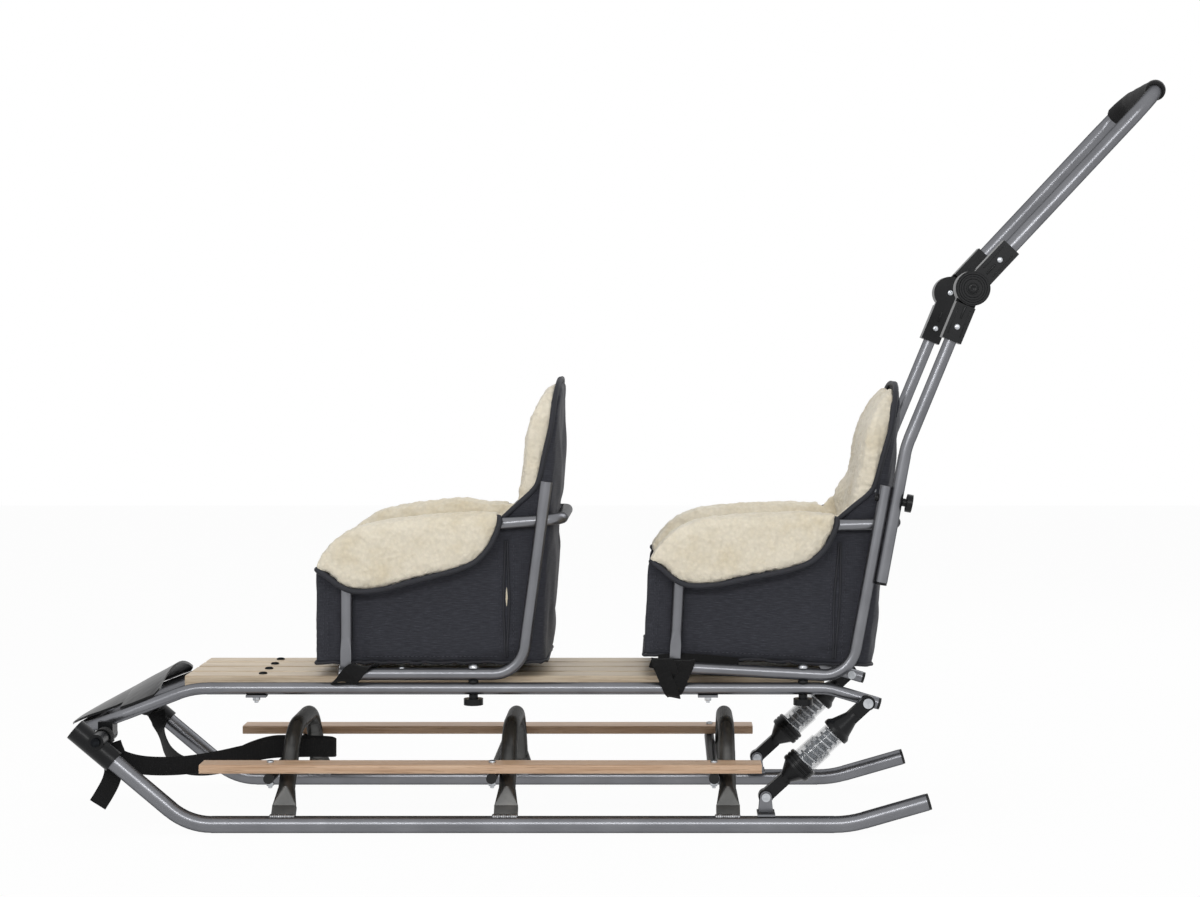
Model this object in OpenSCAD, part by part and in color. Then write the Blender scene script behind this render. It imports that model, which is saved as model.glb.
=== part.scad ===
/* [Runners] */
// Runner tube diameter
runner_d = 25; // [20:1:32]
// Distance from a deck rail to the runner beside it
track = 52; // [44:1:60]
// Distance from the front of a foot slat to the rise of the runner
runner_lead = 17; // [0:1:40]
// Rise of the front of a runner, in degrees
runner_front_angle = 40; // [32:1:46]
// Length of the rising front, inside its sleeve
runner_front_len = 206; // [170:1:230]
// Where the tail of a runner starts to rise
runner_tail_x = 347; // [320:1:380]
// Rise of the tail, in degrees
runner_tail_angle = 16; // [8:1:24]
// Length of the rising tail
runner_tail_len = 119; // [80:1:150]
// Length of the black sleeve at the top of a runner
sleeve_len = 75; // [60:1:90]
// Diameter of the black sleeve
sleeve_d = 33; // [31:1:40]

/* [Arches and foot slats] */
// Arch tube diameter
arch_d = 25; // [20:1:28]
// Distance from the front of a foot slat to the front arch
arch_in = 122; // [100:1:150]
// Distance from the rear arch to the rear of a foot slat
arch_end = 49; // [30:1:80]
// Height of the centreline of an arch at its top
arch_z = 138; // [130:1:145]
// Lean of an arch leg, in degrees
arch_angle = 49; // [44:1:54]
// Cross bar diameter
bar_d = 16; // [12:1:20]
// Height of the cross bars' centrelines
bar_z = 80; // [70:1:84]
// Foot slat width
foot_w = 45; // [38:1:52]
// Foot slat thickness
foot_t = 13; // [10:1:16]
// Foot slat length
foot_len = 826; // [760:1:860]
// Distance from the rear of a foot slat to the damper's lower pin
foot_gap = 7; // [4:1:30]
// How far a foot slat's middle lies inside the runner's
foot_in = 13; // [5:1:18]

/* [Deck] */
// Deck tube diameter
deck_d = 18; // [16:1:20]
// Half the distance between the deck rails
deck_half = 138; // [130:1:146]
// Height of the deck rails' centrelines
deck_z = 205; // [198:1:215]
// Distance from the front of a foot slat to the fall of the deck frame
deck_lead = 22; // [0:1:40]
// Length of the falling part, measured level
deck_nose_run = 180; // [160:1:200]
// Fall of the nose, in degrees
deck_nose_angle = 21; // [15:1:25]
// Where the deck frame's tail starts to fall
deck_tail_x = 319; // [300:1:335]
// Fall of the tail, in degrees
deck_tail_angle = 16.5; // [8:0.5:22]
// Length of the falling tail, measured level
deck_tail_run = 74; // [66:1:90]
// Number of deck slats
slat_count = 4; // [3:1:5]
// Gap from a deck rail to the nearest slat
slat_in = 25; // [14:1:40]
// Gap between deck slats
slat_gap = 8; // [4:1:10]
// Deck slat thickness
slat_t = 20; // [14:1:22]
// Height of the deck slats above the rails' tops
slat_rise = 5; // [2:1:8]
// Thickness of the straps under the deck slats
strap_t = 3.5; // [2:0.5:5]

/* [Seats] */
// Seat tube diameter
seat_d = 18; // [16:1:20]
// Position of the front seat's bolt
seat_x = -210; // [-240:1:-180]
// Distance from the front seat to the rear seat
seat_pitch = 492; // [480:1:505]
// Recline of the rear seat, in degrees
rear_recline = 3; // [0:0.5:5]
// Space between a deck rail and a seat rail
seat_gap = 3.6; // [2:0.2:6]
// Lean of the seat uprights, in degrees
upright_lean = 7.6; // [4:0.2:12]
// Height of the uprights above the seat rails
upright_h = 287; // [260:1:310]
// Thickness of the seat cover's cloth panels
cloth_t = 6; // [4:0.5:8]
// Space between the seat cover and the armrest tube
cover_gap = 0.7; // [0.5:0.1:6]
// Thickness of the fleece on the sides
fleece_t = 10; // [6:0.5:14]

/* [Push handle] */
// Push tube diameter
push_d = 19; // [16:1:20]
// Handle tube diameter
handle_d = 22; // [18:1:23]
// Hinge position along the sled
hinge_x = 534; // [520:1:550]
// Hinge height
hinge_z = 802; // [780:1:830]
// Hinge disc diameter
hinge_d = 52; // [46:1:58]
// Width of the hinge sleeves
hinge_w = 30.5; // [28:0.5:34]
// Thickness of the hinge, both halves together
hinge_t = 30; // [27:1:36]
// Length of a hinge sleeve from the hinge's centre
hinge_len = 84; // [74:1:95]
// Hinge pin radius
pin_r = 5; // [3:0.5:7]
// Rise of the handle, in degrees
handle_angle = 46.8; // [30:0.2:60]
// Length of the handle from the hinge to its crossbar
handle_len = 415; // [380:1:450]
// Bend radius of the handle's corners
handle_bend = 55; // [45:1:70]
// Grip diameter
grip_d = 30; // [27:1:34]
// Part of the near handle bend that the grip leaves bare, in degrees
grip_near = 60; // [45:1:80]
// Part of the far handle bend that the grip leaves bare, in degrees
grip_far = 27; // [10:1:80]

/* [Dampers] */
// How far a damper stands inside the runner beside it
damper_in = 24; // [22:0.5:26]
// Position of a damper's lower pin
damper_x = 225; // [215:1:235]
// Height of a damper's lower pin
damper_z = 50; // [46:1:56]
// Position of a damper's upper pin
damper_top_x = 376; // [366:1:380]
// Turns of a damper's spring
spring_turns = 8; // [6:1:10]
// Spring wire diameter
wire_d = 3.2; // [2:0.2:4]
// Spring diameter at the wire's centre
spring_d = 26; // [20:1:26]

/* [Tow strap] */
// Tow strap width
web_w = 28; // [20:1:32]
// Tow strap thickness
web_t = 2; // [1.5:0.1:3]

/* [Hidden] */
$fn = 48;
clear = 0.3;
bend_thin = 0.5;
fit = 0.1;
running = 0.05;
sides = [-1, 1];
ends = [0, 1];

runner_r = runner_d / 2;
runner_half = deck_half + track;
damper_half = runner_half - damper_in;
foot_half = runner_half - foot_in;
foot_x = damper_x - foot_gap - foot_len;
runner_front_x = foot_x - runner_lead;
front_dir = [-cos(runner_front_angle), 0, sin(runner_front_angle)];
tail_dir = [cos(runner_tail_angle), 0, sin(runner_tail_angle)];
runner_apex = [runner_front_x, 0, runner_r];
tail_apex = [runner_tail_x, 0, runner_r];
sleeve_end = runner_front_len + 12;
sleeve_start = sleeve_end - sleeve_len;
plug_t = 4;

arch_x = foot_x + arch_in;
arch_pitch = (foot_len - arch_in - arch_end) / 2;
arch_foot_half = runner_half - 5;
arch_corner = arch_foot_half - (arch_z - runner_d) / tan(arch_angle);
arch_bend = 90;
bar_ahead = arch_d / 2 + bar_d / 2 + clear;
bar_half = runner_half;
foot_z = bar_z + bar_d / 2 + clear;

deck_front_x = foot_x - deck_lead;
nose_fall = deck_nose_run * tan(deck_nose_angle);
nose_x = deck_front_x - deck_nose_run;
nose_z = deck_z - nose_fall;
tail_fall = deck_tail_run * tan(deck_tail_angle);
deck_top = deck_z + deck_d / 2;
slat_top = deck_top + slat_rise;
slat_z = slat_top - slat_t;
slat_x = deck_front_x - 18;
slat_len = deck_tail_x - 3 - slat_x;
slat_span = 2 * (deck_half - deck_d / 2 - slat_in);
slat_w = (slat_span - (slat_count - 1) * slat_gap) / slat_count;
tie_back = 170;
tie_w = 24;
strap_share = 0.384;
strap_xs = [
    deck_front_x + strap_share * (seat_x - tie_back - deck_front_x),
    seat_x + seat_pitch - tie_back + 28
];
strap_w = 30;
strap_low = deck_z - deck_d / 2 - clear;
deck_points = [
    [deck_tail_x + deck_tail_run, -deck_half, deck_z - tail_fall],
    [deck_tail_x, -deck_half, deck_z],
    [deck_front_x, -deck_half, deck_z],
    [nose_x, -deck_half, nose_z],
    [nose_x, deck_half, nose_z],
    [deck_front_x, deck_half, deck_z],
    [deck_tail_x, deck_half, deck_z],
    [deck_tail_x + deck_tail_run, deck_half, deck_z - tail_fall]
];
deck_bends = [0, 80, 120, 85, 85, 120, 80, 0];

// Rows of the nose plate: distance behind the frame's nose, height at the middle,
// half width for a standard deck, drop at the edge
nose_for = 138;
nose_rows = [
    [-23, 139.8, 40, 1],
    [-16, 145.3, 58, 1.6],
    [-5, 151.8, 70, 2.5],
    [10, 160.3, 80, 4],
    [30, 171.3, 86, 8],
    [55, 184.8, 90, 12],
    [68, 191.8, 92, 13],
    [73, 194.8, 140, 17],
    [90, 204.3, 141, 20.5],
    [110, 214.8, 141, 23],
    [122, 221.3, 138, 25],
    [128, 224.8, 124, 21]
];
nose_t = 3.6;
nose_steps = 12;

pivot_x = nose_x + 53;
pivot_z = 136;
pivot_d = 23;
pivot_in = deck_half + 12;
clip_in = deck_half - 19;
pivot_out = runner_half + sleeve_d / 2 + 1;
pivot_bolt_r = 4;

seat_z = deck_top + seat_gap + seat_d / 2;
seat_bend = 48;
apex = 71;
rail_front = -200;
hoop_half = deck_half - seat_d - clear;
cover_half = hoop_half - seat_d / 2 - cover_gap;
hoop_x = -192;
hoop_z = 204;
hoop_back_x = 130;
hoop_back_z = 230;
hoop_bend = 55;
foot_plate = 16;
bolt_r = 4;
bush_d = 15;
knob_d = 29;
seat_places = [[seat_x, 0], [seat_x + seat_pitch, rear_recline]];

// Side outline of the cover, along and up from the seat bolt
cover_side = [
    [-239, 14], [-241, 140], [-224, 146], [-207, 168], [-178, 190], [-140, 204], [30, 219],
    [44, 231], [64, 250], [86, 270], [96, 287], [105, 328], [115, 373], [126, 424], [132, 436],
    [107, 14]
];
cover_back = [[107, 14], [132, 436], [122, 436], [97, 14]];
cover_lean = atan2(25, 422);
cover_rear = 107.5;
cover_corner = 28;
cover_top = 437;
cover_round = 70;
fleece_top = 434;
fleece_round = 64;
fleece_back = [
    [97.6, 36], [121.2, 433], [114, 431], [102, 414], [88, 388], [78, 350],
    [75, 304], [68, 262], [58, 200], [50, 110], [44, 36]
];
fleece_inner = [
    [-232, 21], [-234, 155], [-224, 172], [-207, 190], [-191, 202], [-168, 213], [-116, 225],
    [-44, 230], [28, 236], [44, 238], [61, 254], [83, 274], [93, 290], [90, 300], [80, 280], [90, 21]
];
// Outer line over an arm, then the piping line back along the flap
arm_line = [
    [-238, 158], [-228, 176], [-212, 196], [-195, 209], [-170, 221], [-116, 229], [-44, 234],
    [28, 240], [36, 240]
];
arm_under = [
    [36, 232.5], [28, 232], [-44, 226], [-116, 221], [-140, 219.5], [-166, 213], [-186, 198],
    [-203, 176], [-220, 158]
];
flap_line = [
    [36, 226], [33, 216], [22, 191], [2, 169], [-30, 155], [-90, 140], [-136, 128], [-175, 125],
    [-195, 131], [-220, 150]
];

push_from_upright = seat_d / 2 + push_d / 2 + clear;
lean = upright_lean + rear_recline;
rear_bolt = seat_x + seat_pitch;
rear_apex = [rear_bolt + apex * cos(rear_recline), seat_z - apex * sin(rear_recline)];
up_dir = [sin(lean), cos(lean)];
back_dir = [cos(lean), -sin(lean)];
push_low = rear_apex + 147 * up_dir + push_from_upright * back_dir;
push_bend = rear_apex + 352 * up_dir + push_from_upright * back_dir;
push_run = norm([hinge_x, hinge_z] - push_bend);
push_dir = ([hinge_x, hinge_z] - push_bend) / push_run;
push_angle = atan2(push_dir[1], push_dir[0]);
knob_at = rear_apex + 270 * up_dir + push_from_upright * back_dir;
tube_in = 31;
handle_dir = [cos(handle_angle), sin(handle_angle)];
button_d = 19;

damper_top_z = deck_z - (damper_top_x - deck_tail_x) * tan(deck_tail_angle);
damper_len = norm([damper_top_x - damper_x, damper_top_z - damper_z]);
damper_angle = atan2(damper_top_z - damper_z, damper_top_x - damper_x);
eye_t = 14;
damper_bolt_r = 4;
lug_t = 3;
sleeve_low = 61;
sleeve_high = 143;

// Route of the tow strap: distance behind the pivots, across for a standard bracket, height
tow_for = 150;
tow_points = [
    [10, -149.7, 126], [15, -149.7, 112], [23, -149, 101], [57, -143, 91], [107, -128, 88],
    [157, -106, 92], [197, -86, 98], [232, -70, 102.4], [267, -60, 102.4], [302, -54, 102],
    [319, -49, 101], [327, -41, 100], [325, -32, 100], [317, -26, 101], [297, -26, 102],
    [267, -27, 102.4], [232, -26, 102.4], [197, -20, 92], [157, -4, 72], [117, 20, 60],
    [77, 54, 56], [49, 92, 62], [31, 124, 74], [20, 145, 93], [14, 149.7, 112], [10, 149.7, 126]
];
tow_route = [for (p = tow_points) [pivot_x + p[0], p[1] * pivot_in / tow_for, p[2]]];

function unit(v) = v / norm(v);
function turn(a, b, c) = acos(unit(b - a) * unit(c - b));
function trim(p, r, i) =
    i == 0 || i == len(p) - 1 ? 0 : r[i] * tan(turn(p[i - 1], p[i], p[i + 1]) / 2);
function flip(y, p) = [p[0], y * p[1], p[2]];
function in_plane(y, q) = [q[0], y, q[1]];
// How far a reclined rail rises or falls over half a washer
function tip(i, d) = d / 2 * sin(seat_places[i][1]);

module placed(at, ex, ey, ez) {
    multmatrix([
        [ex[0], ey[0], ez[0], at[0]],
        [ex[1], ey[1], ez[1], at[1]],
        [ex[2], ey[2], ez[2], at[2]],
        [0, 0, 0, 1]
    ])
        children();
}

module along(a, b) {
    ez = unit(b - a);
    ex = unit(cross(abs(ez[1]) < 0.9 ? [0, 1, 0] : [1, 0, 0], ez));
    placed(a, ex, cross(ez, ex), ez)
        children();
}

module rod(a, b, d) {
    along(a, b)
        cylinder(d = d, h = norm(b - a));
}

// A tube along points, bent at each inner point to its own radius;
// a bend is a little thinner than its straights and laps into them
module tube(p, r, d) {
    for (i = [0 : len(p) - 2]) {
        u = unit(p[i + 1] - p[i]);
        rod(p[i] + u * trim(p, r, i), p[i + 1] - u * trim(p, r, i + 1), d);
    }
    for (i = [1 : len(p) - 2]) {
        u = unit(p[i] - p[i - 1]);
        w = unit(p[i + 1] - p[i]);
        ez = unit(cross(u, w));
        ex = -cross(ez, u);
        start = p[i] - u * trim(p, r, i);
        lap = 0.6 / r[i] * 180 / PI;
        placed(start - ex * r[i], ex, u, ez)
            rotate([0, 0, -lap])
                rotate_extrude(angle = turn(p[i - 1], p[i], p[i + 1]) + 2 * lap)
                    translate([r[i], 0])
                        circle(d = d - bend_thin);
    }
}

// A cylinder across the sled between two distances from its middle
module across(x, z, from, to, d) {
    translate([x, from, z])
        rotate([-90, 0, 0])
            cylinder(d = d, h = to - from);
}

module side_plate(points, from, to) {
    translate([0, to, 0])
        rotate([90, 0, 0])
            linear_extrude(to - from)
                polygon(points);
}

module seat_at(i) {
    translate([seat_places[i][0], 0, seat_z])
        rotate([0, seat_places[i][1], 0])
            children();
}

module runner(s) {
    y = [0, s * runner_half, 0];
    color("silver")
        difference() {
            tube(
                [
                    runner_apex + y + front_dir * runner_front_len,
                    runner_apex + y,
                    tail_apex + y,
                    tail_apex + y + tail_dir * runner_tail_len
                ],
                [0, 95, 160, 0],
                runner_d
            );
            across(
                pivot_x,
                pivot_z,
                s * runner_half - runner_d,
                s * runner_half + runner_d,
                2 * (pivot_bolt_r + fit)
            );
        }
}

module runner_plugs() {
    color("black")
        for (s = sides) {
            a = tail_apex + [0, s * runner_half, 0] + tail_dir * (runner_tail_len + 0.05);
            rod(a, a + tail_dir * plug_t, runner_d - 0.6);
        }
}

module arch(i) {
    x = arch_x + i * arch_pitch;
    leg = [0, cos(arch_angle), sin(arch_angle)];
    color("dimgray")
        difference() {
            union() {
                tube(
                    [
                        [x, -arch_foot_half, runner_d] + leg * 42,
                        [x, -arch_corner, arch_z],
                        [x, arch_corner, arch_z],
                        [x, arch_foot_half, runner_d] + flip(-1, leg) * 42
                    ],
                    [0, arch_bend, arch_bend, 0],
                    arch_d
                );
                for (s = sides)
                    translate([x, s * arch_foot_half, runner_d])
                        rotate([s * (90 - arch_angle), 0, 0])
                            arch_foot();
            }
            for (s = sides)
                rod(
                    [x - 60, s * runner_half, runner_r],
                    [x + 60, s * runner_half, runner_r],
                    runner_d + 2 * fit
                );
        }
}

// The pressed end of an arch leg
module arch_foot() {
    hull() {
        translate([0, 0, 41.5])
            cylinder(d = arch_d + 1.2, h = 1);
        translate([-arch_d * 0.68, -5, 14])
            cube([arch_d * 1.36, 10, 1]);
    }
    translate([-arch_d * 0.7, -5, -12])
        cube([arch_d * 1.4, 10, 27]);
}

module cross_bar(i) {
    color("silver")
        across(arch_x + i * arch_pitch - bar_ahead, bar_z, -bar_half, bar_half, bar_d);
}

module bar_plugs() {
    color("black")
        for (i = [0 : 2], s = sides) {
            from = s < 0 ? -bar_half - plug_t : bar_half + 0.05;
            to = s < 0 ? -bar_half - 0.05 : bar_half + plug_t;
            across(arch_x + i * arch_pitch - bar_ahead, bar_z, from, to, bar_d - 0.8);
        }
}

module foot_slat(s) {
    color("burlywood")
        translate([foot_x, s * foot_half, foot_z])
            rotate([90, 0, 90])
                linear_extrude(foot_len)
                    plank(foot_w, foot_t, 3);
}

// Section of a board with rounded edges
module plank(w, t, r) {
    translate([-w / 2 + r, 0])
        square([w - 2 * r, t]);
    translate([-w / 2, r])
        square([w, t - 2 * r]);
    for (x = [r - w / 2, w / 2 - r], y = [r, t - r])
        translate([x, y])
            circle(r = r);
}

module deck_frame() {
    color("silver")
        difference() {
            tube(deck_points, deck_bends, deck_d);
            for (i = ends, s = sides)
                translate([seat_places[i][0], s * deck_half, deck_z - deck_d])
                    cylinder(r = bolt_r + fit, h = 2 * deck_d);
            for (s = sides)
                across(
                    damper_top_x,
                    damper_top_z,
                    s * deck_half - deck_d,
                    s * deck_half + deck_d,
                    2 * (damper_bolt_r + fit)
                );
        }
}

module deck_plugs() {
    dir = unit([deck_tail_run, 0, -tail_fall]);
    color("black")
        for (s = sides) {
            a = [deck_tail_x + deck_tail_run, s * deck_half, deck_z - tail_fall] + dir * 0.05;
            rod(a, a + dir * plug_t, deck_d - 0.6);
        }
}

module deck_slats() {
    color("burlywood")
        for (i = [0 : slat_count - 1])
            translate([slat_x, (i + 0.5) * slat_w + i * slat_gap - slat_span / 2, slat_z])
                rotate([90, 0, 90])
                    linear_extrude(slat_len)
                        plank(slat_w, slat_t, 3);
}

// Flat straps that pass under the rails and step up to the slats
module deck_straps() {
    low = strap_low - strap_t;
    high = slat_z - clear - strap_t;
    a = deck_half + 7;
    b = deck_half - 10;
    c = deck_half - 18;
    half_top = [[-a, low], [-b, low], [-c, high], [c, high], [b, low], [a, low]];
    half_back = [for (i = [5 : -1 : 0]) half_top[i] + [0, strap_t]];
    color("gray")
        for (x = strap_xs)
            translate([x - strap_w / 2, 0, 0])
                rotate([90, 0, 90])
                    linear_extrude(strap_w)
                        polygon(concat(half_top, half_back));
}

module nose_plate() {
    n = len(nose_rows);
    m = nose_steps + 1;
    top = [
        for (row = nose_rows, j = [0 : nose_steps])
            let (v = 2 * j / nose_steps - 1)
                [nose_x + row[0], row[2] * v * deck_half / nose_for, row[1] - row[3] * v * v]
    ];
    low = [for (p = top) p - [0, 0, nose_t]];
    size = n * m;
    skin = [
        for (i = [0 : n - 2], j = [0 : nose_steps - 1])
            let (a = i * m + j)
                each [[a, a + m, a + m + 1], [a, a + m + 1, a + 1]]
    ];
    under = [for (f = skin) [f[2] + size, f[1] + size, f[0] + size]];
    rim = concat(
        [for (j = [0 : nose_steps]) j],
        [for (i = [1 : n - 1]) i * m + nose_steps],
        [for (j = [nose_steps - 1 : -1 : 0]) (n - 1) * m + j],
        [for (i = [n - 2 : -1 : 1]) i * m]
    );
    edge = [
        for (k = [0 : len(rim) - 1])
            let (a = rim[k], b = rim[(k + 1) % len(rim)])
                each [[a, b, b + size], [a, b + size, a + size]]
    ];
    color("black")
        polyhedron(concat(top, low), concat(skin, under, edge), convexity = 6);
}

module front_bracket(s) {
    y = [0, s * runner_half, 0];
    a = runner_apex + y + front_dir * sleeve_start;
    b = runner_apex + y + front_dir * sleeve_end;
    low = s < 0 ? -pivot_out : pivot_in;
    high = s < 0 ? -pivot_in : pivot_out;
    color("black")
        difference() {
            union() {
                rod(a, b, sleeve_d);
                across(pivot_x, pivot_z, low, high, pivot_d);
            }
            rod(
                a - front_dir * 5,
                runner_apex + y + front_dir * (runner_front_len + 0.5),
                runner_d + 2 * fit
            );
            across(pivot_x, pivot_z, low - 5, high + 5, 2 * (pivot_bolt_r + fit));
        }
}

module deck_clip(s) {
    low = s < 0 ? clear - pivot_in : clip_in;
    high = s < 0 ? -clip_in : pivot_in - clear;
    color("black")
        difference() {
            union() {
                across(pivot_x, pivot_z, low, high, pivot_d);
                translate([pivot_x - 11, low, pivot_z])
                    cube([22, high - low, 21]);
            }
            tube(deck_points, deck_bends, deck_d + 4 * fit);
            across(pivot_x, pivot_z, low - 5, high + 5, 2 * (pivot_bolt_r + fit));
        }
}

module pivot_bolts() {
    color("silver")
        for (s = sides) {
            shank = s < 0 ? [-pivot_out - 5, 1 - clip_in] : [clip_in - 1, pivot_out + 5];
            head = s < 0 ? [-pivot_out - 5, -pivot_out - fit] : [pivot_out + fit, pivot_out + 5];
            across(pivot_x, pivot_z, shank[0], shank[1], 2 * pivot_bolt_r);
            across(pivot_x, pivot_z, head[0], head[1], 13);
        }
}

// Stands a damper on its lower pin with its length along +X
module damper_at(s) {
    translate([damper_x, s * damper_half, damper_z])
        rotate([0, -damper_angle, 0])
            children();
}

// A round body about the damper's length, from pairs of distance and radius
module turned(points) {
    rotate([0, 90, 0])
        rotate_extrude()
            polygon([for (p = points) [p[1], p[0]]]);
}

module damper_lower(s) {
    color("black")
        damper_at(s)
            difference() {
                union() {
                    across(0, 0, -eye_t / 2, eye_t / 2, 22);
                    translate([0, -eye_t / 2, -9.5])
                        cube([40, eye_t, 19]);
                    turned([[36, 0], [36, 9], [42, 10.5], [59, 21], [59, 0]]);
                    turned([[58, 0], [58, 23.2], [60, 24.5], [64, 24.5], [64.6, 23.4], [66, 23.4],
                        [66.6, 24.5], [70, 24.5], [70.6, 23.4], [72, 23.4], [72.6, 24.5], [75, 24.5],
                        [77, 23.2], [77, 20.4], [60.5, 20.4], [60.5, 0]]);
                }
                across(0, 0, -eye_t, eye_t, 2 * (damper_bolt_r + fit));
            }
}

module damper_sleeve(s) {
    color("lightcyan", 0.4)
        damper_at(s) {
            turned([[sleeve_low, 18.2], [sleeve_low, 20.1], [112, 20.1], [112, 18.2]]);
            turned([[92, 15.9], [92, 17.8], [sleeve_high, 17.8], [sleeve_high, 15.9]]);
        }
}

module damper_spring(s) {
    per_turn = 14;
    ring = 6;
    count = spring_turns * per_turn;
    from = sleeve_low + wire_d / 2 + 0.1;
    pitch = (sleeve_high - wire_d / 2 - 0.1 - from) / spring_turns;
    points = [
        for (i = [0 : count], k = [0 : ring - 1])
            let (
                a = 360 * i / per_turn,
                r = (spring_d + wire_d * cos(360 * k / ring)) / 2,
                x = from + pitch * i / per_turn + wire_d / 2 * sin(360 * k / ring)
            )
                [x, r * cos(a), r * sin(a)]
    ];
    walls = [
        for (i = [0 : count - 1], k = [0 : ring - 1])
            let (a = i * ring + k, b = i * ring + (k + 1) % ring)
                each [[a, b, b + ring], [a, b + ring, a + ring]]
    ];
    caps = [[for (k = [ring - 1 : -1 : 0]) k], [for (k = [0 : ring - 1]) count * ring + k]];
    color("lightgray")
        damper_at(s)
            polyhedron(points, concat(walls, caps), convexity = 10);
}

module damper_upper(s) {
    end = damper_len;
    color("black")
        damper_at(s)
            difference() {
                union() {
                    across(end, 0, -eye_t / 2, eye_t / 2, 22);
                    translate([end - 34, -eye_t / 2, -10])
                        cube([34, eye_t, 20]);
                    turned([[138, 18.1], [138, 21.4], [139.5, 22], [144, 22], [145.5, 21.4], [150, 18],
                        [end - 32, 10.5], [end - 26, 9.5], [end - 26, 0], [sleeve_high + 0.2, 0],
                        [sleeve_high + 0.2, 18.1]]);
                }
                across(end, 0, -eye_t, eye_t, 2 * (damper_bolt_r + fit));
            }
}

// Brackets on the runners that hold the dampers' lower pins
module damper_lugs() {
    inner = eye_t / 2 + clear;
    base = runner_d + fit;
    color("silver")
        for (s = sides)
            difference() {
                union() {
                    for (y = [-inner - lug_t, inner])
                        translate([damper_x, s * damper_half + y, 0]) {
                            across(0, damper_z, 0, lug_t, 17);
                            side_plate(
                                [[-11, base], [11, base], [8.5, damper_z], [-8.5, damper_z]],
                                0,
                                lug_t
                            );
                        }
                    translate([damper_x - 13, s * (damper_half + 9) - 21, base])
                        cube([26, 42, lug_t]);
                }
                across(
                    damper_x,
                    damper_z,
                    s * damper_half - 20,
                    s * damper_half + 20,
                    2 * (damper_bolt_r + fit)
                );
            }
}

module damper_bolts() {
    low = eye_t / 2 + clear + lug_t;
    color("silver")
        for (s = sides) {
            translate([0, s * damper_half, 0]) {
                across(damper_x, damper_z, -low - 5, low + 4, 2 * damper_bolt_r);
                across(damper_x, damper_z, -low - 4.5, -low - fit, 13);
                across(damper_x, damper_z, low + fit, low + 4.5, 13);
            }
            out = s * (damper_half + eye_t / 2);
            in = s * (deck_half - deck_d / 2);
            from = s < 0 ? out - 5 : in - 6;
            to = s < 0 ? in + 6 : out + 5;
            head = s < 0 ? [out - 5, out - fit] : [out + fit, out + 5];
            nut = s < 0 ? [in + fit, in + 5] : [in - 5, in - fit];
            mid = s * (deck_half + deck_d / 2);
            eye = s * (damper_half - eye_t / 2);
            bush = s < 0 ? [eye + fit, mid - fit] : [mid + fit, eye - fit];
            across(damper_top_x, damper_top_z, from, to, 2 * damper_bolt_r);
            across(damper_top_x, damper_top_z, head[0], head[1], 15);
            across(damper_top_x, damper_top_z, nut[0], nut[1], 13);
            across(damper_top_x, damper_top_z, bush[0], bush[1], 14);
        }
}

module seat_rail(i, s) {
    y = s * deck_half;
    color("silver")
        difference() {
            seat_at(i)
                tube(
                    [
                        [rail_front, y, 0],
                        [apex, y, 0],
                        [apex + upright_h * tan(upright_lean), y, upright_h]
                    ],
                    [0, seat_bend, 0],
                    seat_d
                );
            translate([seat_places[i][0], y, seat_z - seat_d])
                cylinder(r = bolt_r + fit, h = 2 * seat_d);
            if (i == 1)
                push_bores(s);
        }
}

module seat_hoop(i) {
    y = hoop_half;
    color("silver")
        seat_at(i) {
            tube(
                [
                    [hoop_x, -y, 52],
                    [hoop_x, -y, hoop_z],
                    [hoop_back_x, -y, hoop_back_z],
                    [hoop_back_x, y, hoop_back_z],
                    [hoop_x, y, hoop_z],
                    [hoop_x, y, 52]
                ],
                [0, hoop_bend, 32, 32, hoop_bend, 0],
                seat_d
            );
            for (s = sides) {
                hull() {
                    translate([hoop_x, s * y, 51])
                        cylinder(d = seat_d, h = 1);
                    translate([hoop_x - foot_plate / 2, s * (y + seat_d / 2 - 3) - 3, 31])
                        cube([foot_plate, 6, 1]);
                }
                translate([hoop_x - foot_plate / 2, s * (y + seat_d / 2 - 3) - 3, -8])
                    cube([foot_plate, 6, 40]);
            }
        }
}

// Keeps what lies inside the rounded outline of a seat's back
module back_outline(half, top, r) {
    intersection() {
        children();
        translate([-300, 0, 0])
            rotate([90, 0, 90])
                linear_extrude(500) {
                    translate([-half, -50])
                        square([2 * half, top - r + 50]);
                    translate([r - half, 0])
                        square([2 * (half - r), top]);
                    for (x = [r - half, half - r])
                        translate([x, top - r])
                            circle(r = r);
                }
    }
}

// Rounds the upright rear corners of a seat's cover, along its leaning back
module corner_outline(half) {
    r = cover_corner;
    intersection() {
        children();
        rotate([0, cover_lean, 0])
            translate([0, 0, -100])
                linear_extrude(700) {
                    translate([-500, -half])
                        square([500 + cover_rear - r, 2 * half]);
                    translate([-500, r - half])
                        square([500 + cover_rear, 2 * (half - r)]);
                    for (y = [r - half, half - r])
                        translate([cover_rear - r, y])
                            circle(r = r);
                }
    }
}

module seat_shell(i) {
    inner = cover_half - cloth_t;
    color("dimgray")
        seat_at(i)
            corner_outline(cover_half + 1)
                back_outline(cover_half, cover_top, cover_round)
                    union() {
                        for (s = sides)
                            side_plate(
                                cover_side,
                                s < 0 ? -cover_half : inner,
                                s < 0 ? -inner : cover_half
                            );
                        side_plate(cover_back, -inner - 1, inner + 1);
                        translate([-238, -inner - 1, 14])
                            cube([340, 2 * inner + 2, cloth_t]);
                        translate([-239, -inner - 1, 14])
                            cube([cloth_t, 2 * inner + 2, 40]);
                    }
}

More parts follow.
